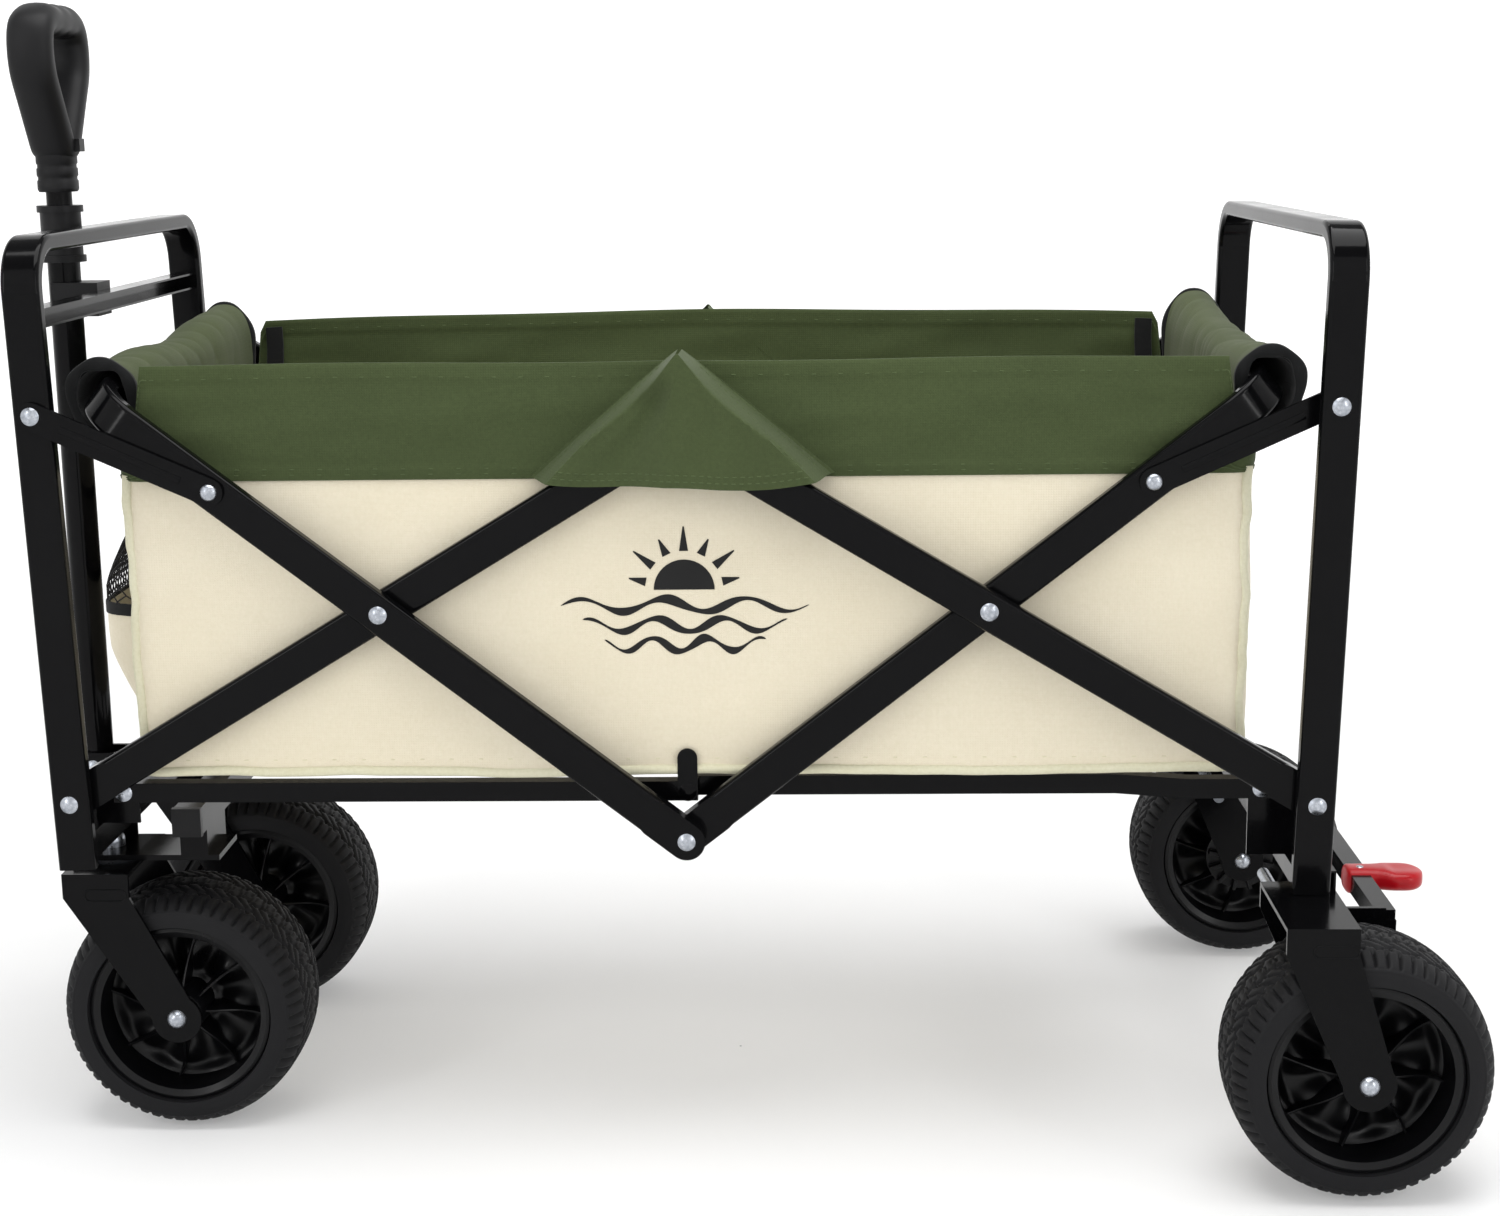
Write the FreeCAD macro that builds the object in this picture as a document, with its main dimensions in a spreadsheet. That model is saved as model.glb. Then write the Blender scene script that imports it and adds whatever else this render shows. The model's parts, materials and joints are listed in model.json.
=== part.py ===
import FreeCAD, Part
import os
import re

import Sketcher

# A folding beach cart: two welded end frames, a scissor frame on each side, a soft basket,
# front casters, fixed rear wheels with a foot brake, and a telescopic handle.
# Lengths are millimetres. X runs from the handle end (-) to the brake end (+), Z is up.
# Everything is laid out about the middle of the scissor frame, and every finished piece is
# then moved along X by origin_shift, which puts the origin under the middle of the whole cart.

doc = FreeCAD.newDocument("BeachCart")
sheet = doc.addObject("Spreadsheet::Sheet", "Sizes")

DRIVING = {
    # scissor frame
    "pivot_reach": 430,
    "pivot_height": 263.5,
    "cross_reach": 208,
    "cross_height": 397,
    "low_pivot_height": 235,
    "rail_reach": 398,
    "bar_width": 26,
    "bar_depth": 12,
    "bar_wall": 1.5,
    "bar_round": 3.2,
    "bend_radius": 32,
    "inner_bar_y": 193,
    "layer_gap": 1,
    "link_gap": 0.4,
    "link_width": 19,
    "link_thick": 3,
    "link_reach": 140,
    "link_post_height": 535.5,
    "bar_short": 9,
    "gusset_width": 21,
    # end frames
    "post_foot_reach": 428,
    "post_lean": 1.5,
    "front_post_foot": 216,
    "rear_post_foot": 200.4,
    "loop_height": 649,
    "beam_height": 20,
    "front_beam_top": 240,
    "front_beam_reach": 428,
    "second_tube_reach": 362,
    "second_tube_half": 160,
    "second_tube_top": 246,
    "plug_length": 5,
    "rear_beam_reach": 433,
    "rear_beam_width": 28,
    "rear_beam_thick": 14,
    "crossbar_bottom": 593,
    "crossbar_height": 13,
    "crossbar_depth": 16,
    # bottom rails
    "rail_pivot_reach": 400,
    "rail_pivot_height": 264,
    "rail_height": 14,
    "rail_depth": 12,
    "front_rail_y": 178,
    "rear_rail_y": 164,
    "joggle_start": 300,
    "joggle_end": 350,
    "lug_thick": 2.2,
    # fasteners
    "rivet_radius": 3,
    "rivet_head": 6.2,
    "head_height": 2.4,
    "pin_play": 0.05,
    # wheels
    "wheel_radius": 90,
    "wheel_half": 44,
    "shoulder_radius": 84,
    "tyre_thick": 11,
    "rim_radius": 62,
    "rim_lip": 67,
    "rim_wall": 4,
    "hub_radius": 15,
    "web_half": 3,
    "spoke_half": 26,
    "spoke_thick": 4,
    "bush_radius": 9,
    "bush_flange": 2.6,
    "axle_radius": 4,
    "front_hub_reach": 376,
    "rear_hub_reach": 457,
    "front_wheel_y": 122,
    "rear_wheel_y": 245,
    # forks
    "fork_clear": 3,
    "sheet_thick": 3,
    "fork_top": 200,
    "fork_half_plate": 24,
    "fork_shoulder": 182,
    "fork_end_radius": 18,
    "kingpin_reach": 429,
    "kingpin_radius": 5,
    "caster_bearing": 17,
    "plate_gap": 3,
    "caster_plate": 4,
    # handle
    "handle_reach": 475,
    "handle_radius": 12,
    "handle_wall": 1.5,
    "handle_pivot_height": 236,
    "handle_foot": 224,
    "collar_bottom": 627,
    "collar_top": 669,
    "collar_radius": 15,
    "inner_radius": 9.5,
    "inner_foot": 290,
    "slide_play": 0.3,
    "grip_foot": 679,
    "grip_top": 816,
    "grip_half_width": 56,
    "grip_depth": 36,
    "yoke_thick": 3,
    # brake
    "brake_pivot_reach": 419,
    "brake_pivot_height": 175,
    "brake_rod_radius": 4.5,
    "brake_rod_end": 100,
    "brake_bar_reach": 488,
    "brake_bar_height": 170,
    "brake_bar_side": 14,
    "brake_arm_outer": 191,
    "brake_arm_thick": 4,
    "lock_pin_reach": 490.4,
    "lock_pin_height": 98.1,
    "lock_pin_radius": 2.8,
    "lug_ring_radius": 28,
    "lug_ring_inner": 19,
    "lug_width": 3.6,
    "lug_phase": 18,
    "pedal_y": 100,
    "pedal_width": 36,
    "pedal_reach": 537,
    "pedal_thick": 13,
    # basket
    "basket_reach": 390,
    "basket_half": 182,
    "basket_floor": 275,
    "basket_band": 488,
    "basket_top": 566,
    "cloth_thick": 3,
    "end_band_top": 518,
    "sleeve_half": 160,
    "sleeve_thick": 5,
    "sleeve_play": 0.4,
    "board_thick": 6,
    "board_reach": 342,
    "centre_plate_thick": 1.4,
    "centre_plate_run": 24,
    "board_half": 150,
    "pocket_half": 115,
    "pocket_bottom": 312,
    "pocket_top": 445,
    "pocket_depth": 24,
    "apron_half": 106,
    "apron_bottom": 486,
    "apron_gap": 3.4,
}

DERIVED = {
    "lower_slope": "=atan((cross_height - pivot_height) / (pivot_reach - cross_reach))",
    "upper_slope": "=atan((cross_height - low_pivot_height) / cross_reach)",
    "lower_turn": "=180 - lower_slope / 1deg",
    "upper_turn": "=180 - upper_slope / 1deg",
    "top_pivot_height": "=2 * cross_height - low_pivot_height",
    "upper_run": "=cross_reach / cos(upper_slope)",
    "tube_reach": "=rail_reach / cos(upper_slope)",
    "rail_rise": "=low_pivot_height + rail_reach * tan(upper_slope)",
    "bar_reach": "=pivot_reach / cos(lower_slope) - bar_short",
    "bar_end_x": "=bar_short * cos(lower_slope)",
    "bar_end_z": "=pivot_height + bar_reach * sin(lower_slope)",
    "gusset_run": "=sqrt(bar_end_x ^ 2 + (top_pivot_height - bar_end_z) ^ 2)",
    "gusset_slope": "=atan((top_pivot_height - bar_end_z) / bar_end_x)",
    "gusset_turn": "=180 - gusset_slope / 1deg",
    "link_bar_x": "=(upper_run + link_reach) * cos(upper_slope)",
    "link_bar_z": "=low_pivot_height + (upper_run + link_reach) * sin(upper_slope)",
    "link_post_x": "=post_foot_reach + (link_post_height - front_post_foot) * tan(post_lean)",
    "link_run": "=sqrt((link_post_x - link_bar_x) ^ 2 + (link_post_height - link_bar_z) ^ 2)",
    "link_slope": "=atan((link_post_height - link_bar_z) / (link_post_x - link_bar_x))",
    "link_turn": "=180 - link_slope / 1deg",
    "outer_bar_y": "=inner_bar_y + bar_depth + layer_gap",
    "rear_link_in": "=inner_bar_y + bar_depth / 2 + link_gap",
    "rear_bar_y": "=inner_bar_y + bar_depth + link_thick + 2 * link_gap",
    "rear_post_y": "=rear_bar_y + bar_depth + link_gap",
    "front_link_in": "=outer_bar_y + bar_depth / 2 + link_gap",
    "front_turn": "=90 + post_lean",
    "rear_turn": "=90 - post_lean",
    "front_loop_reach": "=(loop_height - front_post_foot) / cos(post_lean)",
    "rear_loop_reach": "=(loop_height - rear_post_foot) / cos(post_lean)",
    "crossbar_reach": "=post_foot_reach + (crossbar_bottom - front_post_foot) * tan(post_lean)",
    "front_reach": "=handle_reach + grip_depth / 2",
    "rear_reach": "=rear_hub_reach + wheel_radius",
    "origin_shift": "=(front_reach - rear_reach) / 2",
    "fork_half": "=wheel_half + fork_clear",
    "front_trail": "=kingpin_reach - front_hub_reach",
    "rear_plate_reach": "=rear_beam_reach - 10",
    "rear_trail": "=rear_hub_reach - rear_plate_reach",
    "bearing_top": "=fork_top + plate_gap",
    "plate_top": "=bearing_top + caster_plate",
    "panel_out": "=basket_half - cloth_thick",
}

rows = list(DRIVING.items()) + list(DERIVED.items())
for row, (name, value) in enumerate(rows, start=1):
    sheet.set("A%d" % row, name)
    sheet.set("B%d" % row, str(value))
    sheet.setAlias("B%d" % row, name)
doc.recompute()

Y_DOWN = FreeCAD.Vector(0, -1, 0)
nodes = []


def ex(text):
    """An expression on the sheet: every name with an underscore is one of its cells."""
    return re.sub(r"[a-z]\w*_\w+", lambda found: "Sizes." + found.group(), str(text))


def tie(thing, **fields):
    for field, text in fields.items():
        thing.setExpression(field.replace("__", "."), ex(text))
    return thing


def number(name):
    cell = sheet.get(name)
    return float(getattr(cell, "Value", cell))


# ---- blocks, rods and booleans -------------------------------------------------------------


def block(name, x, y, z):
    """A box between two expressions along each axis."""
    box = doc.addObject("Part::Box", name)
    tie(box, Length="(%s) - (%s)" % (x[1], x[0]), Width="(%s) - (%s)" % (y[1], y[0]))
    tie(box, Height="(%s) - (%s)" % (z[1], z[0]), Placement__Base__x=x[0])
    return tie(box, Placement__Base__y=y[0], Placement__Base__z=z[0])


def rod(name, axis, centre, radius, span):
    """A round bar along an axis; centre gives its other two coordinates in X, Y, Z order."""
    bar = doc.addObject("Part::Cylinder", name)
    tie(bar, Radius=radius, Height="(%s) - (%s)" % (span[1], span[0]))
    if axis == "X":
        bar.Placement.Rotation = FreeCAD.Rotation(FreeCAD.Vector(0, 1, 0), 90)
        return tie(bar, Placement__Base__x=span[0], Placement__Base__y=centre[0],
                   Placement__Base__z=centre[1])
    if axis == "Y":
        bar.Placement.Rotation = FreeCAD.Rotation(FreeCAD.Vector(1, 0, 0), 90)
        return tie(bar, Placement__Base__x=centre[0], Placement__Base__y=span[1],
                   Placement__Base__z=centre[1])
    return tie(bar, Placement__Base__x=centre[0], Placement__Base__y=centre[1],
               Placement__Base__z=span[0])


def dome(name, centre, face_y, side, radius, height):
    """A rivet head: a cap of a sphere on the plane y = face_y, bulging towards side (-1 or 1)."""
    ball = "((%s) ^ 2 + (%s) ^ 2) / (2 * (%s))" % (radius, height, height)
    cap = doc.addObject("Part::Sphere", name)
    cap.Placement.Rotation = FreeCAD.Rotation(FreeCAD.Vector(1, 0, 0), 90 if side < 0 else 270)
    tie(cap, Radius=ball, Angle1="asin((%s - (%s)) / (%s))" % (ball, height, ball))
    tie(cap, Placement__Base__x=centre[0], Placement__Base__z=centre[1])
    return tie(cap, Placement__Base__y="(%s) - (%d) * (%s - (%s))" % (face_y, side, ball, height))


def fuse(name, *pieces):
    joined = doc.addObject("Part::MultiFuse", name)
    joined.Shapes = list(pieces)
    return joined


def cut(name, base, *tools):
    tool = tools[0] if len(tools) == 1 else fuse(name + "_tools", *tools)
    left = doc.addObject("Part::Cut", name)
    left.Base = base
    left.Tool = tool
    return left


def group(name, *pieces):
    gathered = doc.addObject("Part::Compound", name)
    gathered.Links = list(pieces)
    return gathered


def both_sides(name, near):
    """The near piece and its mirror image across the cart's middle plane."""
    far = doc.addObject("Part::Mirroring", name + "_far")
    far.Source = near
    far.Normal = FreeCAD.Vector(0, 1, 0)
    return group(name, near, far)


def strap(name, start, run, slope, width, y):
    """A flat strap with round ends from start, in the XZ plane, rising at slope degrees."""
    half = "(%s) / 2" % width
    bar = doc.addObject("Part::Box", name + "_bar")
    bar.Placement.Rotation = FreeCAD.Rotation(Y_DOWN, 10)
    tie(bar, Length=run, Height=width, Width="(%s) - (%s)" % (y[1], y[0]))
    tie(bar, Placement__Rotation__Angle=slope, Placement__Base__y=y[0])
    tie(bar, Placement__Base__x="%s + %s * sin(%s)" % (start[0], half, slope))
    tie(bar, Placement__Base__z="%s - %s * cos(%s)" % (start[1], half, slope))
    end = ("%s + %s * cos(%s)" % (start[0], run, slope), "%s + %s * sin(%s)" % (start[1], run, slope))
    first = rod(name + "_start", "Y", start, half, y)
    last = rod(name + "_end", "Y", end, half, y)
    return fuse(name, bar, first, last)


def hollow_block(name, x, y, z, wall, open_top=True):
    outer = block(name + "_outer", x, y, z)
    inset = lambda pair: ("%s + %s" % (pair[0], wall), "%s - %s" % (pair[1], wall))
    top = "%s + 10" % z[1] if open_top else "%s - %s" % (z[1], wall)
    inner = block(name + "_inner", inset(x), inset(y), ("%s + %s" % (z[0], wall), top))
    return cut(name, outer, inner)


def rivet(name, centre, inner_y, outer_y, inner_head=True):
    """A rivet on the near side: a shank through the layers and a domed head outside."""
    shank = rod(name + "_shank", "Y", centre, "rivet_radius", ("-(%s)" % outer_y, "-(%s)" % inner_y))
    parts = [shank, dome(name + "_head", centre, "-(%s)" % outer_y, -1, "rivet_head", "head_height")]
    if inner_head:
        low = rod(name + "_tail", "Y", centre, "rivet_head - 1.2",
                  ("-(%s)" % inner_y, "-(%s) + 1.2" % inner_y))
        parts.append(low)
    return fuse(name, *parts)


def pin_hole(name, centre, y):
    return rod(name, "Y", centre, "rivet_radius + pin_play", y)


# ---- sketches and features in a body -------------------------------------------------------


def new_body(name):
    return doc.addObject("PartDesign::Body", name)


def origin_part(body, role):
    return [part for part in body.Origin.OriginFeatures if part.Role == role][0]


def sketch(body, role, name):
    drawn = body.newObject("Sketcher::SketchObject", name)
    drawn.AttachmentSupport = (origin_part(body, role), [""])
    drawn.MapMode = "FlatFace"
    return drawn


def fix_point(drawn, geometry, point, x, y, first=(1.0, 1.0)):
    """Ties one point of the sketch to two expressions, measured from the sketch's origin."""
    for kind, text, start in (("DistanceX", x, first[0]), ("DistanceY", y, first[1])):
        index = drawn.addConstraint(Sketcher.Constraint(kind, -1, 1, geometry, point, start))
        drawn.setExpression("Constraints[%d]" % index, ex(text))


def outline(drawn, points):
    """A closed polygon through points given as expressions."""
    count = len(points)
    spread = FreeCAD.Vector(30, 0, 0)
    turn = FreeCAD.Rotation(FreeCAD.Vector(0, 0, 1), 360.0 / count)
    corners = [spread]
    for _ in points[1:]:
        corners.append(turn.multVec(corners[-1]))
    first = None
    for k in range(count):
        line = drawn.addGeometry(Part.LineSegment(corners[k], corners[(k + 1) % count]), False)
        first = line if first is None else first
    for k in range(count):
        drawn.addConstraint(Sketcher.Constraint("Coincident", first + k, 2, first + (k + 1) % count, 1))
    for k, (x, y) in enumerate(points):
        fix_point(drawn, first + k, 1, x, y)
    return drawn


def ring(drawn, x, y, radius):
    circle = drawn.addGeometry(Part.Circle(FreeCAD.Vector(1, 1, 0), FreeCAD.Vector(0, 0, 1), 5), False)
    fix_point(drawn, circle, 3, x, y)
    index = drawn.addConstraint(Sketcher.Constraint("Radius", circle, 5.0))
    drawn.setExpression("Constraints[%d]" % index, ex(radius))
    return drawn


def pad(body, drawn, length):
    grown = body.newObject("PartDesign::Pad", drawn.Name + "_pad")
    grown.Profile = drawn
    grown.Midplane = True
    tie(grown, Length=length)
    body.Tip = grown
    return grown


def pocket(body, drawn, length=None):
    sunk = body.newObject("PartDesign::Pocket", drawn.Name + "_pocket")
    sunk.Profile = drawn
    sunk.Midplane = True
    if length is None:
        sunk.Type = "ThroughAll"
    else:
        tie(sunk, Length=length)
    body.Tip = sunk
    return sunk


def revolve(body, drawn):
    turned = body.newObject("PartDesign::Revolution", drawn.Name + "_turned")
    turned.Profile = drawn
    turned.ReferenceAxis = (drawn, ["V_Axis"])
    turned.Angle = 360
    body.Tip = turned
    return turned


def around(body, feature, count):
    """Repeats a feature evenly about the body's Y axis."""
    pattern = body.newObject("PartDesign::PolarPattern", feature.Name + "_pattern")
    pattern.Originals = [feature]
    pattern.Axis = (origin_part(body, "Y_Axis"), [""])
    pattern.Angle = 360
    pattern.Occurrences = count
    body.Tip = pattern
    return pattern


def fillet(body, keep, radius):
    """Rounds the edges of the tip for which keep(edge) is true."""
    doc.recompute()
    tip = body.Tip
    names = ["Edge%d" % (k + 1) for k, edge in enumerate(tip.Shape.Edges) if keep(edge)]
    soft = body.newObject("PartDesign::Fillet", tip.Name + "_soft")
    soft.Base = (tip, names)
    tie(soft, Radius=radius)
    body.Tip = soft
    return soft


def place(piece, x, y, z):
    """Puts a finished piece at a point of the layout, moved with the whole cart."""
    return tie(piece, Placement__Base__x="(%s) + origin_shift" % x, Placement__Base__y=y,
               Placement__Base__z=z)


def finish(piece, label, x="0", y="0", z="0"):
    piece.Label = label
    place(piece, x, y, z)
    nodes.append(piece)
    return piece


# ---- tubes ---------------------------------------------------------------------------------


def direction(edge):
    return (edge.Vertexes[-1].Point - edge.Vertexes[0].Point).normalize()


def is_line(edge):
    return isinstance(edge.Curve, Part.Line)


def runs_along(edge):
    """True for an edge that follows the tube, false for one across its section."""
    if not is_line(edge):
        return True
    way = direction(edge)
    return abs(way.x) > 0.9 or (abs(way.y) > 0.9 and edge.Length > 5 * number("bar_depth"))


def section(body, name, side_y, inset):
    half_depth = "(bar_depth / 2 - %s)" % inset
    half_width = "(bar_width / 2 - %s)" % inset
    low, high = "-(%s) - %s" % (side_y, half_depth), "-(%s) + %s" % (side_y, half_depth)
    drawn = sketch(body, "YZ_Plane", name)
    corners = [(low, "-" + half_width), (high, "-" + half_width), (high, half_width), (low, half_width)]
    return outline(drawn, corners)


def bend_path(body, name, reach, side):
    """Out along X, round a bend, across, round a bend and back: a U lying in the XY plane."""
    length, width, radius = number(reach), number(side), number("bend_radius")
    vec = FreeCAD.Vector
    up = vec(0, 0, 1)
    drawn = sketch(body, "XY_Plane", name)
    quarter = 1.5707963267948966
    drawn.addGeometry(Part.LineSegment(vec(0, -width, 0), vec(length - radius, -width, 0)), False)
    low = Part.Circle(vec(length - radius, -width + radius, 0), up, radius)
    drawn.addGeometry(Part.ArcOfCircle(low, -quarter, 0), False)
    drawn.addGeometry(Part.LineSegment(vec(length, -width + radius, 0), vec(length, width - radius, 0)),
                      False)
    high = Part.Circle(vec(length - radius, width - radius, 0), up, radius)
    drawn.addGeometry(Part.ArcOfCircle(high, 0, quarter), False)
    drawn.addGeometry(Part.LineSegment(vec(length - radius, width, 0), vec(0, width, 0)), False)
    for first, first_end, second, second_end in ((0, 2, 1, 1), (1, 2, 2, 1), (2, 2, 3, 1),
                                                 (3, 2, 4, 1)):
        drawn.addConstraint(Sketcher.Constraint("Tangent", first, first_end, second, second_end))
    drawn.addConstraint(Sketcher.Constraint("Horizontal", 0))
    drawn.addConstraint(Sketcher.Constraint("Horizontal", 4))
    drawn.addConstraint(Sketcher.Constraint("Vertical", 2))
    fix_point(drawn, 0, 1, "0", "-(%s)" % side, (0, -width))
    fix_point(drawn, 4, 2, "0", side, (0, width))
    for arc in (1, 3):
        index = drawn.addConstraint(Sketcher.Constraint("Radius", arc, radius))
        drawn.setExpression("Constraints[%d]" % index, ex("bend_radius"))
    index = drawn.addConstraint(Sketcher.Constraint("DistanceX", -1, 1, 2, 1, length))
    drawn.setExpression("Constraints[%d]" % index, ex(reach))
    return drawn


def bent_tube(name, reach, side):
    """A hollow flat tube bent into a U: arms along X at y = +-side, joined across at x = reach."""
    body = new_body(name)
    path = bend_path(body, name + "_path", reach, side)
    outer = section(body, name + "_outer", side, "0")
    doc.recompute()
    swept = body.newObject("PartDesign::AdditivePipe", name + "_sweep")
    swept.Profile = outer
    swept.Spine = (path, [])
    body.Tip = swept
    fillet(body, runs_along, "bar_round")
    inner = section(body, name + "_inner", side, "bar_wall")
    doc.recompute()
    hollow = body.newObject("PartDesign::SubtractivePipe", name + "_bore")
    hollow.Profile = inner
    hollow.Spine = (path, [])
    body.Tip = hollow
    return body


def straight_tube(name, side_y, start, reach):
    """A hollow flat tube along X at y = -side_y, from start to reach."""
    body = new_body(name)
    middle = "(%s + (%s)) / 2" % (start, reach)
    shell = pad(body, section(body, name + "_outer", side_y, "0"), "%s - (%s)" % (reach, start))
    tie(shell.Profile[0], AttachmentOffset__Base__z=middle)
    fillet(body, runs_along, "bar_round")
    bore = section(body, name + "_inner", side_y, "bar_wall")
    tie(bore, AttachmentOffset__Base__z=middle)
    pocket(body, bore)
    return body


def slope_body(body, turn, x, z):
    body.Placement.Rotation = FreeCAD.Rotation(Y_DOWN, 10)
    return tie(body, Placement__Rotation__Angle=turn, Placement__Base__x=x, Placement__Base__z=z)


def bar_layer(middle_y):
    """The depth that a bar's layer takes on the near side, outer face first."""
    return ("-(%s) - bar_depth / 2" % middle_y, "-(%s) + bar_depth / 2" % middle_y)


def tongue(name, start, slope, middle_y):
    """The flattened round end that closes a tube and takes its pivot."""
    return strap(name, start, "bar_width", slope, "bar_width", bar_layer(middle_y))


# ---- end frames ----------------------------------------------------------------------------

WIDE = ("-300", "300")

front_loop = slope_body(bent_tube("front_loop", "front_loop_reach", "outer_bar_y"), "front_turn",
                        "-post_foot_reach", "front_post_foot")
front_holes = [pin_hole("front_post_low_hole", ("-pivot_reach", "pivot_height"), WIDE),
               pin_hole("front_post_link_hole", ("-link_post_x", "link_post_height"), WIDE)]
finish(cut("front_hoop", front_loop, *front_holes), "front_hoop")

rear_loop = slope_body(bent_tube("rear_loop", "rear_loop_reach", "rear_post_y"), "rear_turn",
                       "post_foot_reach", "rear_post_foot")
rear_holes = [pin_hole("rear_post_low_hole", ("pivot_reach", "pivot_height"), WIDE),
              pin_hole("rear_post_link_hole", ("link_post_x", "link_post_height"), WIDE)]
finish(cut("rear_hoop", rear_loop, *rear_holes), "rear_hoop")

POST_IN = "(outer_bar_y - bar_depth / 2)"
REAR_POST_IN = "(rear_post_y - bar_depth / 2)"


def across(half):
    return ("-(%s)" % half, "%s" % half)


def around_x(middle, width):
    return ("(%s) - (%s) / 2" % (middle, width), "(%s) + (%s) / 2" % (middle, width))


# a folded channel between the front posts, open towards the basket, that carries the handle clip
channel_z = ("crossbar_bottom", "crossbar_bottom + crossbar_height")
channel_x = around_x("-crossbar_reach", "crossbar_depth")
channel = block("channel_block", channel_x, across(POST_IN), channel_z)
channel_inside = block("channel_inside", (channel_x[0] + " + bar_wall", channel_x[1] + " + 1"),
                       across("(%s - bar_wall)" % POST_IN),
                       ("crossbar_bottom + bar_wall", "crossbar_bottom + crossbar_height - bar_wall"))
finish(cut("front_crossbar", channel, channel_inside), "front_crossbar")

# the plastic clip that holds the folded-up handle tube: a jaw open to the front
clip_half = "(handle_radius + slide_play)"
clip_back = channel_x[0]
clip_wall = "4"
clip_body = block("clip_body", ("-handle_reach - handle_radius / 2", clip_back),
                  across("(%s + %s)" % (clip_half, clip_wall)),
                  ("crossbar_bottom - 6", "crossbar_bottom + crossbar_height + 6"))
clip_jaw = block("clip_jaw", ("-handle_reach - 30", "-handle_reach"), across(clip_half),
                 ("crossbar_bottom - 20", "crossbar_bottom + 40"))
clip_seat = rod("clip_seat", "Z", ("-handle_reach", "0"), clip_half,
                ("crossbar_bottom - 20", "crossbar_bottom + 40"))
finish(cut("handle_clip", clip_body, clip_jaw, clip_seat), "handle_clip")

beam_z = ("front_beam_top - beam_height", "front_beam_top")
beam_x = around_x("-front_beam_reach", "beam_height")
front_beam = cut("front_beam_tube",
           block("front_beam_outer", beam_x, across(POST_IN), beam_z),
           block("front_beam_bore", around_x("-front_beam_reach", "beam_height - 2 * bar_wall"),
                 across("(%s + 1)" % POST_IN),
                 ("front_beam_top - beam_height + bar_wall", "front_beam_top - bar_wall")))

tube_z = ("second_tube_top - beam_height", "second_tube_top")
finish(cut("second_cross_tube",
           block("second_outer", around_x("-second_tube_reach", "beam_height"),
                 across("second_tube_half"), tube_z),
           block("second_bore", around_x("-second_tube_reach", "beam_height - 2 * bar_wall"),
                 across("(second_tube_half + 1)"),
                 ("second_tube_top - beam_height + bar_wall", "second_tube_top - bar_wall"))),
                 "second_cross_tube")

plug_cap = block("plug_cap", around_x("-second_tube_reach", "beam_height + 1"),
                 ("-second_tube_half - plug_length", "-second_tube_half"),
                 ("second_tube_top - beam_height - 0.5", "second_tube_top + 0.5"))
plug_stem = block("plug_stem", around_x("-second_tube_reach", "beam_height - 2 * bar_wall"),
                  ("-second_tube_half", "-second_tube_half + 18"),
                  ("second_tube_top - beam_height + bar_wall", "second_tube_top - bar_wall"))
finish(both_sides("tube_plugs", fuse("tube_plug", plug_cap, plug_stem)), "tube_plugs")

# caster brackets: a plate over each caster, hung from both cross tubes by a web
plate_x = ("-kingpin_reach - caster_bearing - 6", "-second_tube_reach + beam_height / 2 + 8")
plate_y = ("-front_wheel_y - 26", "-front_wheel_y + 26")
web_y = ("-front_wheel_y + 22", "-front_wheel_y + 26")
caster_plate = block("caster_plate_flat", plate_x, plate_y, ("bearing_top", "plate_top"))
web_front = block("web_front", beam_x, web_y, ("plate_top", "front_beam_top - beam_height"))
web_rear = block("web_rear", around_x("-second_tube_reach", "beam_height"), plate_y,
                 ("plate_top", "second_tube_top - beam_height"))
kingpin_at = ("-kingpin_reach", "-front_wheel_y")
plate_hole = rod("caster_plate_hole", "Z", kingpin_at, "kingpin_radius",
                 ("bearing_top - 1", "plate_top + 1"))
finish(both_sides("caster_brackets",
                  cut("caster_bracket", fuse("caster_bracket_solid", caster_plate, web_front, web_rear),
                      plate_hole)),
       "caster_brackets")

kingpin_shank = rod("kingpin_shank", "Z", kingpin_at, "kingpin_radius",
                    ("fork_top - sheet_thick - 4", "plate_top + 6"))
kingpin_foot = rod("kingpin_foot", "Z", kingpin_at, "kingpin_radius + 4",
                   ("fork_top - sheet_thick - 4.4", "fork_top - sheet_thick - 0.4"))
kingpin_nut = rod("kingpin_nut", "Z", kingpin_at, "kingpin_radius + 3.5",
                  ("plate_top", "plate_top + 4"))
kingpin_cap = doc.addObject("Part::Sphere", "kingpin_cap")
tie(kingpin_cap, Radius="kingpin_radius + 3.5", Placement__Base__x=kingpin_at[0],
    Placement__Base__y=kingpin_at[1], Placement__Base__z="plate_top + 4")
kingpin_cap.Angle1 = 0
finish(both_sides("kingpins", fuse("kingpin", kingpin_shank, kingpin_foot, kingpin_nut, kingpin_cap)),
       "kingpins")

bearing_disc = rod("bearing_disc", "Z", kingpin_at, "caster_bearing", ("fork_top + 0.3", "bearing_top"))
bearing_hole = rod("bearing_hole", "Z", kingpin_at, "kingpin_radius",
                   ("fork_top - 1", "bearing_top + 1"))
finish(both_sides("caster_bearings", cut("caster_bearing_ring", bearing_disc, bearing_hole)),
       "caster_bearings")

# rear cross beam on the two rear forks
rear_beam_x = around_x("rear_beam_reach", "rear_beam_width")
rear_beam_z = ("fork_top", "fork_top + rear_beam_thick")
rear_beam = cut("rear_beam_tube",
           block("rear_beam_outer", rear_beam_x, across(REAR_POST_IN), rear_beam_z),
           block("rear_beam_bore", around_x("rear_beam_reach", "rear_beam_width - 2 * bar_wall"),
                 across("(%s + 1)" % REAR_POST_IN),
                 ("fork_top + bar_wall", "fork_top + rear_beam_thick - bar_wall")))

# lugs that carry the bottom rails
lug_out = "-front_rail_y + rail_depth / 2 + link_gap"
lug_y = (lug_out, lug_out + " + lug_thick")


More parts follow.
